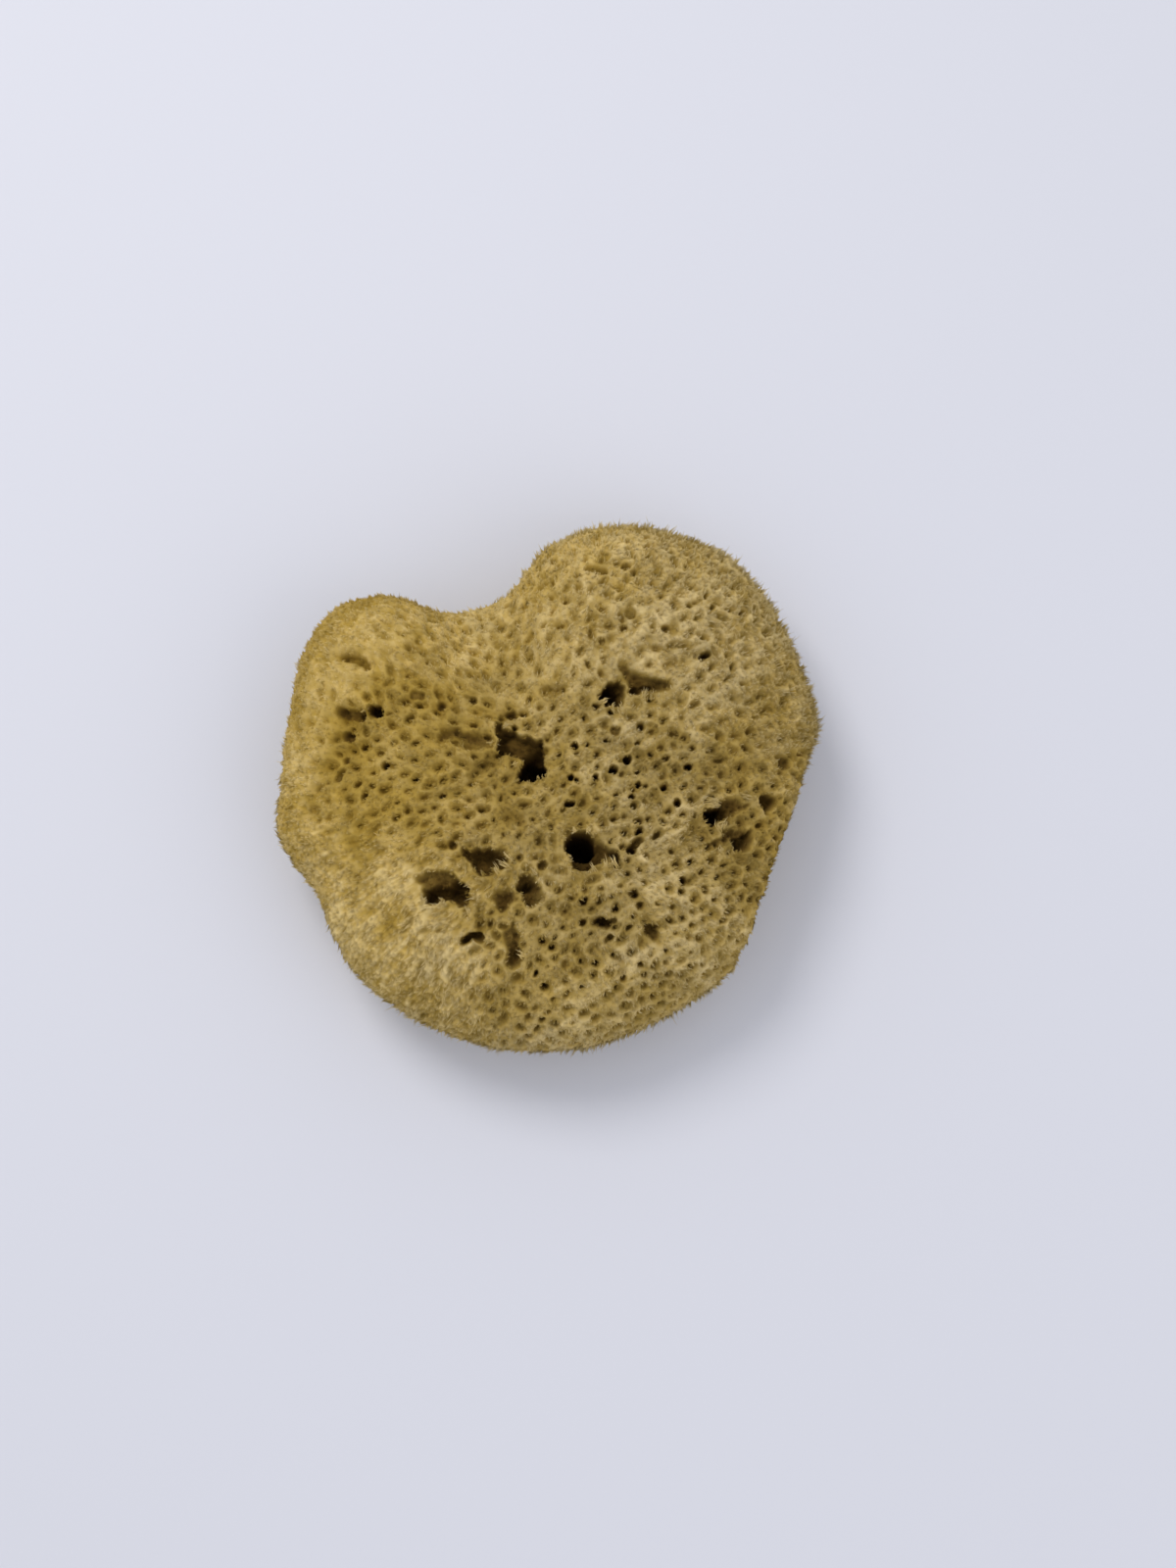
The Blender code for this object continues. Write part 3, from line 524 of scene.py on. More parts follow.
def outline_gap(plan, outline):
    """Distance from each place to the outline, positive inside it."""
    corners = np.array(outline) * MM
    inside = np.zeros(len(plan), dtype=bool)
    gap = np.full(len(plan), 1.0)
    for a, b in zip(corners, np.roll(corners, -1, axis=0)):
        t = np.clip((plan - a) @ (b - a) / ((b - a) @ (b - a)), 0.0, 1.0)
        gap = np.minimum(gap, np.linalg.norm(plan - a - t[:, None] * (b - a), axis=1))
        crosses = (a[1] > plan[:, 1]) != (b[1] > plan[:, 1])
        if a[1] != b[1]:
            inside ^= crosses & (plan[:, 0] < a[0] + (plan[:, 1] - a[1]) * (b[0] - a[0]) / (b[1] - a[1]))
    return np.where(inside, gap, -gap)


def floor_depth(plan, spots):
    """Depth of a tear's floor, mostly that of the nearest spot."""
    total, weights = 0.0, 0.0
    for x, y, depth in spots:
        near = 1 / ((plan[:, 0] / MM - x) ** 2 + (plan[:, 1] / MM - y) ** 2 + 0.2) ** 1.9
        total = total + near * depth
        weights = weights + near
    return total / weights * MM


def canal_depths(points, warped, top):
    """Depth of the tears, holes and soft hollows, nearness of a torn edge, and the way into its hole."""
    drawn = DRAWN_ABOUT + (warped[:, :2] - DRAWN_ABOUT) / DRAWN_SCALE
    depth = np.zeros(len(points))
    soft = np.zeros(len(points))
    edge = np.full(len(points), -1.0)
    pull = np.zeros((len(points), 3))
    ragged = (0.22 * grain(points, 0.0009, 31) + 0.26 * grain(points, 0.0022, 32)) * MM
    for outline, spots in TEARS.values():
        corners = np.array(outline) * MM
        low, high = corners.min(axis=0) - 3 * MM, corners.max(axis=0) + 3 * MM
        near = np.flatnonzero(top & (drawn > low).all(axis=1) & (drawn < high).all(axis=1))
        plan = drawn[near]
        gap = outline_gap(plan, outline) + ragged[near] + 0.20 * MM
        bed = floor_depth(plan, spots)
        shallow = ease(6 * MM, 2 * MM, bed)
        here = bed * ease(-0.15 * MM, (0.45 + 1.1 * shallow) * MM, gap)
        depth[near] = np.maximum(depth[near], here)
        closer = gap > edge[near]
        pull[near[closer], :2] = unit(corners.mean(axis=0) - plan)[closer]
        edge[near] = np.maximum(edge[near], gap)
    for bores in HOLES:
        for first, last in list(zip(bores, bores[1:])) or [(bores[0], bores[0])]:
            a, b = np.array(first) * MM, np.array(last) * MM
            near = np.flatnonzero(top & (np.linalg.norm(drawn - (a + b)[:2] / 2, axis=1) < 9 * MM))
            plan = drawn[near]
            span = b[:2] - a[:2]
            t = np.clip((plan - a[:2]) @ span / max(span @ span, 1e-12), 0.0, 1.0)
            bore = a + t[:, None] * (b - a)
            gap = bore[:, 2] - np.linalg.norm(plan - bore[:, :2], axis=1) + 0.6 * ragged[near]
            here = bore[:, 3] * ease(-0.20 * MM, 0.55 * MM, gap)
            depth[near] = np.maximum(depth[near], here)
            edge[near] = np.maximum(edge[near], gap)
    for x, y, reach, sink in DIPS:
        away = np.hypot(drawn[:, 0] / MM - x, drawn[:, 1] / MM - y) / reach
        soft += np.where(top, sink * np.exp(-away**2), 0.0) * MM
    pull *= ease(-1.6 * MM, -0.2 * MM, edge)[:, None]
    return depth, soft, edge, pull


def scatter(points, spacing, count, chance, held=()):
    """Picks of points in random order, each further than its spacing from all before."""
    keys = np.floor(points / float(spacing.max())).astype(int).tolist()
    places = points.tolist()
    table = {}
    for index in held:
        table.setdefault(tuple(keys[index]), []).append(places[index])
    picked = []
    for index in chance.choice(len(points), min(count, len(points)), replace=False).tolist():
        x, y, z = places[index]
        limit = float(spacing[index]) ** 2
        taken = any(
            (x - ox) ** 2 + (y - oy) ** 2 + (z - oz) ** 2 < limit
            for cell in product(*((key - 1, key, key + 1) for key in keys[index]))
            for ox, oy, oz in table.get(cell, ())
        )
        if not taken:
            table.setdefault(tuple(keys[index]), []).append(places[index])
            picked.append(index)
    return picked


def pore_depths(points, warped, normals, crisp, canal, chance):
    """Depth of the pores, and of the soft funnels that lead into them, at each point."""
    tree = tree_of(warped)
    depth = np.zeros(len(points))
    funnel = np.zeros(len(points))
    outward = points - MIDDLE
    spacing = (PORE_SPACING + PORE_SPREAD * (1 - crisp)) * (1 + 0.18 * grain(points, 0.009, 90))
    large = scatter(points, spacing, PORE_TRIES, chance)
    small = scatter(points, np.full(len(points), SMALL_SPACING), PORE_TRIES, chance, large)
    for number, index in enumerate(large + small):
        wide = number < len(large)
        if canal[index] > NONE_BELOW or canal[index] > FEW_BELOW and chance.uniform() < 0.5:
            continue
        x, y, _ = points[index]
        open_here = crisp[index]
        dark_here = open_here * ease(-0.020, 0.022, x)
        calm = (1 - open_here) * ease(-0.026, -0.044, x)
        deep = chance.uniform() < 0.03 + 0.13 * dark_here
        if chance.uniform() < 0.35 * calm:
            continue

        # Size: wider and shallower where the fibre is fuzzy
        radius = chance.uniform(*(LARGE_RADIUS if wide else SMALL_RADIUS)) * MM
        large_depth = DEEP_DEPTH if deep else LARGE_DEPTH
        sink = chance.uniform(*(large_depth if wide else SMALL_DEPTH)) * MM
        radius *= 1.0 + 0.35 * (1 - open_here)
        sink *= (0.33 + 0.67 * open_here) * (1.0 + 0.25 * dark_here) * (1 - 0.5 * calm)
        sink *= 1 - 0.25 * ease(-0.028, -0.044, y)

        # Lie: drawn out away from the middle of the face, or any way where the pores are crisp
        normal = normals[index]
        aslant = OPEN_WAY - normal * (OPEN_WAY @ normal)
        along = outward[index] - normal * (outward[index] @ normal)
        along /= max(np.linalg.norm(along), 1e-9)
        drawn_out = ease(0.000, -0.020, x)
        turned = chance.normal(0.0, 0.3 + 1.2 * open_here * (1 - 0.8 * drawn_out))
        across = np.cross(normal, along)
        along, across = (
            along * math.cos(turned) + across * math.sin(turned),
            across * math.cos(turned) - along * math.sin(turned),
        )
        stretch = 1 + abs(chance.normal(0.0, 0.18)) + max(0.55 * (1 - open_here), 0.30 * drawn_out)

        # The wall slopes more gently on one side, where the funnel lies
        dish = FUNNEL_RADIUS * chance.uniform(0.8, 1.15) if wide else 0.0
        reach = max(radius * 1.15, dish) * stretch
        near = np.array([item[1] for item in tree.find_range(warped[index].tolist(), reach)])
        facing = (normals[near] @ normal) > 0.3
        gap = warped[near] - warped[index]
        flat = np.hypot(gap @ along / stretch, gap @ across * math.sqrt(stretch))
        flat *= 1 - LEANING * open_here * (gap @ aslant) / np.maximum(flat, 0.2 * MM)
        share = 1 - ease(0.45 - 0.55 * (1 - open_here), 1.1, flat / radius)
        depth[near] = np.maximum(depth[near], share * sink * facing)
        if wide:
            gap -= 0.55 * MM * aslant
            flat = np.hypot(gap @ along / stretch, gap @ across * math.sqrt(stretch))
            bowl = np.clip(1 - (flat / dish) ** 2, 0.0, 1.0)
            bowl *= FUNNEL_DEPTH * chance.uniform(0.3, 1.4) * (0.46 + min(1.5 * open_here, 0.74)) * facing
            bowl *= 1 - 0.45 * calm
            funnel[near] = np.maximum(funnel[near], bowl)
    return depth, funnel


def tuft_places(points, crisp, hidden, chance):
    """Middles of the tufts, on the ridges between the pores, and the spacing round each point."""
    spacing = (TUFT_SPACING + TUFT_SPREAD * (1 - crisp)) * MM
    open_ground = np.flatnonzero(~hidden)
    picked = scatter(points[open_ground], spacing[open_ground], TUFT_TRIES, chance)
    return open_ground[np.array(picked)], spacing


def streaks(unrolled, count, length, seed):
    """Long narrow ridges and furrows that run outwards over the rim, from -1 to 1."""
    places = np.column_stack((unrolled[:, 0] * count, unrolled[:, 1] / length, np.zeros(len(unrolled))))
    return grain(places, 1.0, seed)


def painted_zone_shade(points, crisp):
    """Painted shade (+) and painted light (-) over the parts of the face: shade over the middle and the
    right, light on the upper lobe; also darker at the far left.
    """
    x, y = points[:, 0], points[:, 1]
    middle = crisp * ease(0.036, 0.000, x) * ease(-0.042, -0.026, y)
    upper = ease(-0.004, 0.030, y)
    lobe = upper * ease(-0.036, -0.012, x)
    right = ease(0.034, 0.020, y) * ease(-0.042, -0.022, y) * ease(0.026, 0.042, x)
    far_left = ease(-0.022, -0.042, x) * ease(-0.030, -0.010, y)
    return 0.45 * middle - 0.30 * lobe + 0.44 * right + (0.28 + 0.22 * upper) * far_left


def carve_sponge():
    """The finished sheet and its tufts."""
    chance = np.random.default_rng(SEED)
    smooth, triangles, slant, unrolled = fine_sheet()
    normals = point_normals(smooth, triangles)
    x, y, z = smooth.T
    crisp = crispness(smooth)
    fuzzy = 1 - crisp
    top = (slant < WIDEST_SLANT) & (normals[:, 2] > 0.1)
    warped = smooth + 0.27 * MM * grain_way(smooth, 0.0012, 40)
    warped += 0.40 * MM * grain_way(smooth, 0.0042, 50)
    canal, soft, edge, pull = canal_depths(smooth, warped, top)
    pores, funnel = pore_depths(smooth, warped, normals, crisp, canal, chance)

    # Tufts, each on a small hump
    on_back = z < 0.0005
    hidden = (z < 0.001) | (pores > 0.4 * MM) | (canal > NONE_BELOW)
    tufts, spacing = tuft_places(smooth, crisp, hidden, chance)
    tree = tree_of(smooth[tufts])
    found = [tree.find(place) for place in smooth.tolist()]
    nearest = np.array([item[1] for item in found])
    away = np.array([item[2] for item in found])
    rise = (0.22 + 0.10 * fuzzy[tufts]) * chance.uniform(0.4, 1.6, len(tufts)) * MM
    hump = np.clip(1 - away / (TUFT_FOOT * spacing[tufts][nearest]), 0.0, 1.0) ** 1.15

    # Lumps of the fibre, from wide to narrow, with heights in millimetres
    lumps = 0.50 * grain(smooth, 0.0090, 63) + 0.12 * grain(smooth, 0.0034, 62)
    lumps += (0.08 + 0.09 * ease(-0.040, 0.0, x + 0.5 * y)) * grain(smooth, 0.0021, 64)
    combed = 0.25 + 0.75 * ease(0.020, -0.030, y - 0.2 * np.abs(x))
    wide_streaks = streaks(unrolled, *WIDE_STREAKS)
    lumps += 0.16 * fuzzy * combed * wide_streaks
    downy = grain(smooth, 0.0012, 67)
    lumps += 0.12 * fuzzy * downy
    turned = np.column_stack((smooth @ OPEN_WAY / 0.0032, smooth @ CROSS_WAY / 0.0008, np.zeros(len(smooth))))
    slantwise = crisp * ease(*COMBED_FROM, x) * grain(turned, 1.0, 69)
    lumps += 0.10 * slantwise
    lumps *= MM

    # Fray, stronger on the floors of the mouths
    floor = ease(0.5 * MM, 2.2 * MM, canal)
    fray = (0.10 + 0.06 * crisp) * grain(smooth, 0.0008, 60)
    fray += (0.13 + 0.06 * crisp) * grain(smooth, 0.0017, 61)
    fray += chance.normal(0.0, 0.05, len(smooth))
    fray = fray * MM * (1 + 2.4 * floor) + hump * rise[nearest]

    # Every point moves along its normal
    dent = funnel * ease(2 * MM, 0.5 * MM, canal) - lumps
    depth = canal + pores / (1 + canal / (6 * MM))
    move = np.where(on_back, np.minimum(-0.6 * depth, 0.0), fray - dent - depth - soft)
    points = smooth + normals * move[:, None]
    points[:, 2] = np.maximum(points[:, 2], 0.0)

    # Painted shade and light: how deep each point seems, in millimetres, which picks its colour. Deeper
    # pores, funnels, hollows and mouths are painted darker as shade, and raised lumps and fray paler as light
    sunk = (depth - 0.5 * fray + 1.1 * dent + 0.30 * soft) / MM + 0.8 * ease(0.0, 2 * MM, canal)
    # Painted shade over the middle and right, painted light on the upper lobe
    sunk += painted_zone_shade(smooth, crisp)
    brushed = fuzzy * (0.4 + 0.6 * combed)
    # Paler on the wide streaks' ridges, painted light on them, and along the fine streaks
    sunk -= brushed * (0.25 * wide_streaks + 0.40 * streaks(unrolled, *FINE_STREAKS))
    # Paler where the down rises, painted light on it, and a paler grain elsewhere too
    sunk -= (0.12 + 0.10 * ease(0.0, -0.030, x) + 0.18 * fuzzy) * downy
    # Mottled floors of the mouths, and paler on the slantwise combed ridges, painted light on them
    sunk += 0.7 * floor * grain(smooth, 0.0016, 68) - 0.40 * slantwise
    lip = ease(-1.3 * MM, -0.2 * MM, edge)
    return SimpleNamespace(
        points=points, triangles=triangles, smooth=smooth, normals=normals, crisp=crisp, sunk=sunk,
        pull=pull, lip=lip, floor=floor, tufts=tufts, spacing=spacing[tufts], rise=rise,
    )


def spike_mesh(roots, bends, tips, thick, normals):
    """Three-sided spikes. With a bend they have a ring half-way, and without it they are straight."""
    axis = unit(tips - roots)
    side = unit(np.cross(axis, np.roll(axis, 1, axis=1) + 0.3))
    other = np.cross(axis, side)
    rings, shading = [], []
    for middle, width in ((roots, 1.0), (bends, 0.75)):
        if middle is None:
            continue
        for turn in (0.0, 2 * math.pi / 3, 4 * math.pi / 3):
            outward = side * math.cos(turn) + other * math.sin(turn)
            rings.append(middle + thick[:, None] * width * outward)
            shading.append(normals + 0.5 * outward)
    rings.append(tips)
    shading.append(normals + 0.5 * axis)
    places = np.stack(rings, axis=1)
    shading = np.stack(shading, axis=1)
    shading /= np.linalg.norm(shading, axis=2)[:, :, None]
    if bends is None:
        pattern = ((0, 1, 3), (1, 2, 3), (2, 0, 3))
    else:
        pattern = (
            (0, 1, 4), (0, 4, 3), (1, 2, 5), (1, 5, 4), (2, 0, 3), (2, 3, 5),
            (3, 4, 6), (4, 5, 6), (5, 3, 6),
        )
    starts = places.shape[1] * np.arange(len(roots))[:, None, None]
    faces = starts + np.array(pattern)[None]
    return places.reshape(-1, 3), faces.reshape(-1, 3), shading.reshape(-1, 3)


def tuft_spikes(sheet, tufts, spacing, rise, chance):
    """Straight spikes that lean together in each tuft, and one longer hooked spike."""
    count = len(tufts)
    up, crisp, pull, floor = (part[tufts] for part in (sheet.normals, sheet.crisp, sheet.pull, sheet.floor))
    base = sheet.points[tufts] - up * rise[:, None]
    x, y = base[:, 0], base[:, 1]
    fuzzy = 1 - crisp
    outward = base - MIDDLE
    outward = unit(outward - up * np.sum(outward * up, axis=1)[:, None])
    swirl = grain_way(base, 0.004, 80)
    aslant = OPEN_WAY - up * (up @ OPEN_WAY)[:, None]

    # Combed slantwise in the middle, bristly at the upper and lower right rim, upright on the top lobe
    middle = crisp * ease(*COMBED_FROM, x) * ease(-0.034, -0.018, y)
    upper_rim = ease(0.025, 0.055, 0.7 * (x + y))
    lower_rim = ease(0.040, 0.058, -y) * ease(0.0, 0.02, x)
    bristly = fuzzy * np.maximum(upper_rim, lower_rim)
    fluffy = fuzzy * ease(-0.010, 0.030, y + 0.3 * x)
    lean = (0.45 + 0.80 * bristly + 0.45 * fluffy)[:, None] * up
    lean += chance.normal(0.0, 1.0, (count, 3)) * (0.20 + 0.20 * fluffy)[:, None]
    lean += (0.25 + 0.30 * crisp)[:, None] * swirl
    lean += 0.9 * ((1 - middle - 0.45 * fluffy)[:, None] * outward + middle[:, None] * aslant)
    lean += (0.5 + 0.6 * (pull[:, 1] > 0))[:, None] * pull
    lean = unit(lean)
    reach = 0.72 + 0.60 * fuzzy**2 + 0.30 * bristly - 0.30 * fluffy * (1 - bristly)
    reach *= (1 - 0.35 * floor) * (1 - 0.30 * ease(-0.030, -0.048, x))
    reach *= 1 - sheet.lip[tufts] * np.where(pull[:, 1] > 0, 0.15, 0.60)
    reach *= chance.uniform(0.55, 1.30, count) * (1 + 0.30 * grain(base, 0.005, 84)) * MM
    apex = base + up * rise[:, None] + lean * reach[:, None]

    def roots_round(index, share):
        spin = chance.uniform(0.0, 2 * math.pi, len(index))
        radius = share * spacing[index] * np.sqrt(chance.uniform(0.02, 1.0, len(index)))
        side = np.cross(up[index], outward[index])
        across = outward[index] * np.cos(spin)[:, None] + side * np.sin(spin)[:, None]
        height = rise[index] * (1 - radius / (TUFT_FOOT * spacing[index])) - 0.12 * MM
        return base[index] + across * radius[:, None] + up[index] * height[:, None]

    straight = np.repeat(np.arange(count), SPIKES_EACH)
    roots = roots_round(straight, 0.55)
    free = roots + lean[straight] * (1.1 * reach[straight])[:, None]
    tips = 0.35 * apex[straight] + 0.65 * free + chance.normal(0.0, 0.15 * MM, free.shape)
    thick = chance.uniform(*STRAIGHT_RADIUS, len(straight)) * MM
    plain = spike_mesh(roots, None, tips, thick, up[straight])
    hooked = np.arange(count)
    roots = roots_round(hooked, 0.2)
    turn = np.clip(chance.normal(0.0, 0.45, (count, 3)), -0.9, 0.9)
    bends = roots + (lean + 0.2 * turn) * (0.75 * reach + 0.2 * MM)[:, None]
    tips = bends + (lean + turn) * (0.55 * reach)[:, None]
    thick = chance.uniform(*HOOKED_RADIUS, count) * MM
    curved = spike_mesh(roots, bends, tips, thick, up)
    return plain, curved


# Materials


def add_node(tree, kind, inputs, **settings):
    """A new node with its settings made, and its inputs set to values or linked to outputs."""
    node = tree.nodes.new(kind)
    for name, value in settings.items():
        setattr(node, name, value)
    for name, value in inputs.items():
        if isinstance(value, bpy.types.NodeSocket):
            tree.links.new(value, node.inputs[name])
        else:
            node.inputs[name].default_value = value
    return node


def add_ramp(tree, share, stops):
    """The colour that runs through the stops as the share grows from 0 to 1."""
    node = add_node(tree, "ShaderNodeValToRGB", {"Fac": share})
    ramp = node.color_ramp
    while len(ramp.elements) < len(stops):
        ramp.elements.new(0.5)
    for element, (position, colour) in zip(ramp.elements, stops):
        element.position = position
        element.color = (*colour, 1.0)
    return node.outputs["Color"]


def sponge_material():
    """Straw-yellow fibre, browner and darker with painted shade down in the pores, greyer and painted darker
    over the middle.
    """
    material = bpy.data.materials.new("sponge_fibre")
    material.use_nodes = True
    tree = material.node_tree
    place = add_node(tree, "ShaderNodeTexCoord", {}).outputs["Object"]
    sunk = add_node(tree, "ShaderNodeAttribute", {}, attribute_name="sunk").outputs["Fac"]
    tone = add_node(tree, "ShaderNodeAttribute", {}, attribute_name="tone").outputs["Fac"]
    low, high = SHADE_RANGE
    share = add_node(tree, "ShaderNodeMapRange", {"Value": sunk, "From Min": low, "From Max": high})
    # The greyer ramp is painted darker: shade over the middle and right
    grey_shaded, yellow = (add_ramp(tree, share.outputs["Result"], stops) for stops in (GREY_SHADED_FIBRE, YELLOW_FIBRE))
    blend = add_node(tree, "ShaderNodeMix", {"Factor": tone, "A": grey_shaded, "B": yellow}, data_type="RGBA")

    # Mottling a few millimetres wide
    mottle = add_node(tree, "ShaderNodeTexNoise", {"Vector": place, "Scale": 260.0, "Detail": 5.0})
    spread = add_node(tree, "ShaderNodeMapRange", {
        "Value": mottle.outputs["Fac"], "From Min": 0.3, "From Max": 0.7, "To Min": 0.82, "To Max": 1.14,
    })
    shade = add_node(tree, "ShaderNodeMix", {
        "Factor": 1.0, "A": blend.outputs["Result"], "B": spread.outputs["Result"],
    }, data_type="RGBA", blend_type="MULTIPLY")

    # Bump finer than the tufts
    fine = add_node(tree, "ShaderNodeTexNoise", {"Vector": place, "Scale": 3200.0, "Detail": 3.0})
    bump = add_node(tree, "ShaderNodeBump", {
        "Height": fine.outputs["Fac"], "Strength": 0.5, "Distance": 0.00015,
    })
    shader = tree.nodes["Principled BSDF"]
    shader.inputs["Roughness"].default_value = 0.95
    shader.inputs["Specular IOR Level"].default_value = 0.10
    tree.links.new(shade.outputs["Result"], shader.inputs["Base Color"])
    tree.links.new(bump.outputs["Normal"], shader.inputs["Normal"])
    return material


def tone_of(points):
    """1 where the fibre is yellow, at the left and the lobes, and 0 where it is greyer and painted darker, as
    shade over the middle and right.
    """
    leftness = ease(0.030, -0.034, points[:, 0] - 0.45 * points[:, 1])
    rim = ease(0.028, 0.062, np.linalg.norm(points[:, :2] - SPINE, axis=1))
    wander = 0.16 * grain(points, 0.009, 70) + 0.10 * grain(points, 0.0035, 71)
    return np.clip(0.22 + 0.55 * leftness + 0.30 * rim + wander, 0.0, 1.0)


# Pieces


def add_object(name, data):
    added = bpy.data.objects.new(name, data)
    bpy.context.scene.collection.objects.link(added)
    return added


def new_piece(name, points, triangles, values, material, normals):
    """A shown piece of the sponge with its own float attributes."""
    mesh = bpy.data.meshes.new(name)
    mesh.vertices.add(len(points))
    mesh.vertices.foreach_set("co", points.astype(np.float32).ravel())
    mesh.loops.add(3 * len(triangles))
    mesh.loops.foreach_set("vertex_index", triangles.astype(np.int32).ravel())
    mesh.polygons.add(len(triangles))
    mesh.polygons.foreach_set("loop_start", np.arange(0, 3 * len(triangles), 3, dtype=np.int32))
    mesh.update(calc_edges=True)
    for key, numbers in values.items():
        attribute = mesh.attributes.new(key, "FLOAT", "POINT")
        attribute.data.foreach_set("value", numbers.astype(np.float32))
    mesh.materials.append(material)
    mesh.shade_smooth()
    mesh.normals_split_custom_set_from_vertices(normals.tolist())
    piece = add_object(name, mesh)
    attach(piece, "root")
    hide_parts(NODE)


def split_sheet(sheet, tone, shift, material):
    """The sheet as three pieces, cut between rings, with shared normals along the cuts."""
    normals = point_normals(sheet.points, sheet.triangles)
    order = np.argsort(sheet.triangles.min(axis=1), kind="stable")
    triangles = sheet.triangles[order]
    cuts = [int(round(share * len(triangles))) for share in SHEET_CUTS]
    for name, low, high in zip(("sponge_face", "sponge_rim", "sponge_underside"), cuts, cuts[1:]):
        used, local = np.unique(triangles[low:high], return_inverse=True)
        values = {"sunk": sheet.sunk[used], "tone": tone[used]}
        places = (sheet.points + shift)[used]
        new_piece(name, places, local.reshape(-1, 3), values, material, normals[used])


def strand_spikes(points, chance):
    """Hooked spikes of the torn strands."""
    starts, bends, ends = [], [], []
    for root_x, root_y, tip_x, tip_y in STRANDS:
        drawn = np.array(((root_x, root_y), (tip_x, tip_y))) * MM
        root, tip = DRAWN_ABOUT + (drawn - DRAWN_ABOUT) * DRAWN_SCALE
        height = points[np.linalg.norm(points[:, :2] - root, axis=1) < 0.7 * MM, 2].max()
        for _ in range(STRAND_SPIKES):
            way = (tip - root) * chance.uniform(0.65, 1.1)
            start = np.append(root + chance.normal(0.0, 0.42 * MM, 2), height - 0.35 * MM)
            end = np.append(root + way + chance.normal(0.0, 0.42 * MM, 2), height)
            end[2] += chance.uniform(-0.6, 0.2) * MM
            starts.append(start)
            ends.append(end)
            bends.append((start + end) / 2 + np.append(chance.normal(0.0, 0.22 * MM, 2), 0.35 * MM))
    thick = chance.uniform(*STRAND_RADIUS, len(starts)) * MM
    upward = np.tile((0.0, 0.0, 1.0), (len(starts), 1))
    return spike_mesh(np.array(starts), np.array(bends), np.array(ends), thick, upward)


def make_fibres(sheet, tone, shift, material, chance):
    """The tufts as three pieces, from the middle of the face outwards."""
    order = np.argsort(sheet.tufts)
    tufts, spacing, rise = sheet.tufts[order], sheet.spacing[order], sheet.rise[order]
    level = sheet.sunk[tufts] + 0.5 * rise / MM
    kinds = tuft_spikes(sheet, tufts, spacing, rise, chance)
    names = ("fibres_face", "fibres_shoulder", "fibres_rim")
    for number, name in enumerate(names):
        low = number * len(tufts) // len(names)
        high = (number + 1) * len(tufts) // len(names)
        fuzzy = 1.0 - sheet.crisp[tufts[low:high]]
        places, faces, facing, sinks, tones = [], [], [], [], []
        total = 0
        for kind, each, shade in zip(kinds, (SPIKES_EACH, 1), (STRAIGHT_SHADE, HOOKED_SHADE)):
            spots, sides, shades = kind
            corners = len(shade)
            sides_each = len(sides) // len(tufts)
            first, last = low * each * corners, high * each * corners
            places.append(spots[first:last])
            facing.append(shades[first:last])
            faces.append(sides[low * sides_each:high * sides_each] - first + total)
            # Tips painted paler still where the fibre is fuzzy: painted light on them
            paler = 0.7 * np.outer(fuzzy, np.minimum(shade, 0.0))
            sinks.append(np.repeat(level[low:high, None] + shade + paler, each, axis=0).ravel())
            tones.append(np.repeat(tone[tufts[low:high]], each * corners))
            total += last - first
        places = np.concatenate(places) + shift
        places[:, 2] = np.maximum(places[:, 2], LEAST_HEIGHT)
        values = {"sunk": np.concatenate(sinks), "tone": np.concatenate(tones)}
        new_piece(name, places, np.concatenate(faces), values, material, np.concatenate(facing))


def make_sponge():
    sheet = carve_sponge()
    box_low, box_high = (np.array(corner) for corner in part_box(NODE))
    shift = np.zeros(3)
    shift[:2] = (box_low + box_high)[:2] / 2 - (sheet.smooth.min(axis=0) + sheet.smooth.max(axis=0))[:2] / 2
    material = sponge_material()
    # Floors of the mouths go over to the greyer fibre, painted darker as shade in the mouths
    tone = tone_of(sheet.smooth) * (1 - 0.6 * sheet.floor)
    split_sheet(sheet, tone, shift, material)
    chance = np.random.default_rng(SEED + 1)
    make_fibres(sheet, tone, shift, material, chance)
    places, faces, normals = strand_spikes(sheet.points, chance)
    sunk = np.tile(STRAND_SHADE, len(places) // len(STRAND_SHADE))
    values = {"sunk": sunk, "tone": np.full(len(places), STRAND_TONE)}
    new_piece("torn_strands", places + shift, faces, values, material, normals)


# Stage, light and camera

FLOOR_REACH = 3.0
AIM_OF_LIGHT = Vector((0.0, 0.0, 0.03))


def plain_material(name, colour, roughness):
    material = bpy.data.materials.new(name)
    material.use_nodes = True
    shader = material.node_tree.nodes["Principled BSDF"]
    shader.inputs["Base Color"].default_value = (*colour, 1.0)
    shader.inputs["Roughness"].default_value = roughness
    return material


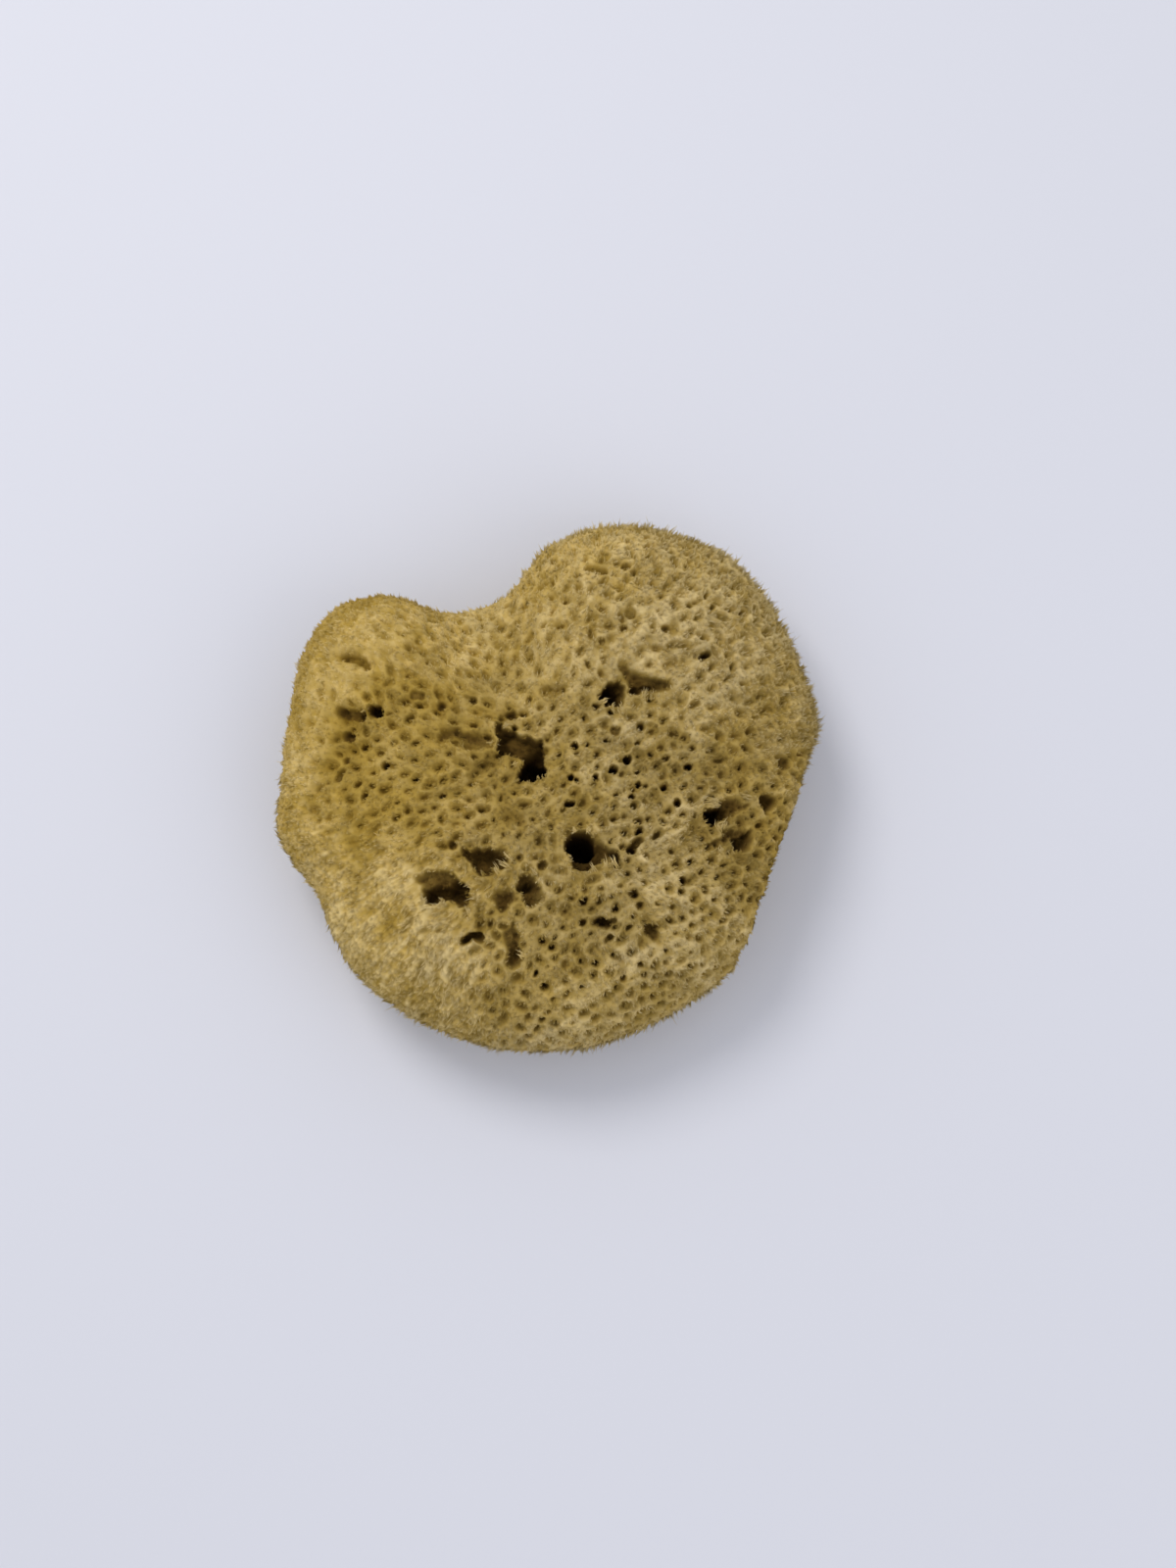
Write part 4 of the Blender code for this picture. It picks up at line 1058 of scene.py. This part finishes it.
def make_floor():
    corners = [(x * FLOOR_REACH, y * FLOOR_REACH, 0) for x, y in ((-1, -1), (1, -1), (1, 1), (-1, 1))]
    mesh = bpy.data.meshes.new("floor")
    mesh.from_pydata(corners, [], [(0, 1, 2, 3)])
    floor = add_object("floor", mesh)
    mesh.materials.append(plain_material("pale_floor", (0.66, 0.67, 0.74), 0.8))


def area_light(name, place, size, power, colour):
    """A round soft light that faces the sponge."""
    data = bpy.data.lights.new(name, "AREA")
    data.shape = "DISK"
    data.size = size
    data.energy = power
    data.color = colour
    light = add_object(name, data)
    light.location = place
    light.rotation_euler = (AIM_OF_LIGHT - Vector(place)).to_track_quat("-Z", "Y").to_euler()


def make_light():
    world = bpy.data.worlds.new("soft_room")
    world.use_nodes = True
    background = world.node_tree.nodes["Background"]
    background.inputs["Color"].default_value = (0.93, 0.95, 1.0, 1.0)
    background.inputs["Strength"].default_value = 0.72
    bpy.context.scene.world = world
    area_light("key", place=(-0.40, 0.51, 0.90), size=0.50, power=4.9, colour=(1.0, 0.97, 0.92))
    area_light("fill", place=(0.7, -0.5, 0.7), size=0.9, power=1.8, colour=(1.0, 0.98, 0.96))


# Camera: the frame is 1200 by 1600, and its long side spans this many metres at the face
FRAME_HEIGHT = 0.3738
LENS = 50.0
SENSOR = 36.0
LOOK_DOWN = math.radians(80.0)
AIM = Vector((0.0097, -0.0019, 0.030))


def make_camera():
    data = bpy.data.cameras.new("camera")
    data.lens = LENS
    data.sensor_width = SENSOR
    camera = add_object("camera", data)
    distance = FRAME_HEIGHT / SENSOR * LENS
    back = Vector((0.0, -math.cos(LOOK_DOWN), math.sin(LOOK_DOWN)))
    camera.location = AIM + back * distance
    camera.rotation_euler = (-back).to_track_quat("-Z", "Y").to_euler()
    bpy.context.scene.camera = camera


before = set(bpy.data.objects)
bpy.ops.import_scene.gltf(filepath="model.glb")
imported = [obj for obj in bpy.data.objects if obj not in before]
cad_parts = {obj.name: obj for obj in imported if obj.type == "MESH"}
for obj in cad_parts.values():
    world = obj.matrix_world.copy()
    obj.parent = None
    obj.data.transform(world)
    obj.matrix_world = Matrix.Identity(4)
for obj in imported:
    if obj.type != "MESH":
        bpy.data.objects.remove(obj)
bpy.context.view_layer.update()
bpy.context.scene.view_settings.view_transform = "Standard"
make_camera()
make_light()
make_floor()
make_sponge()
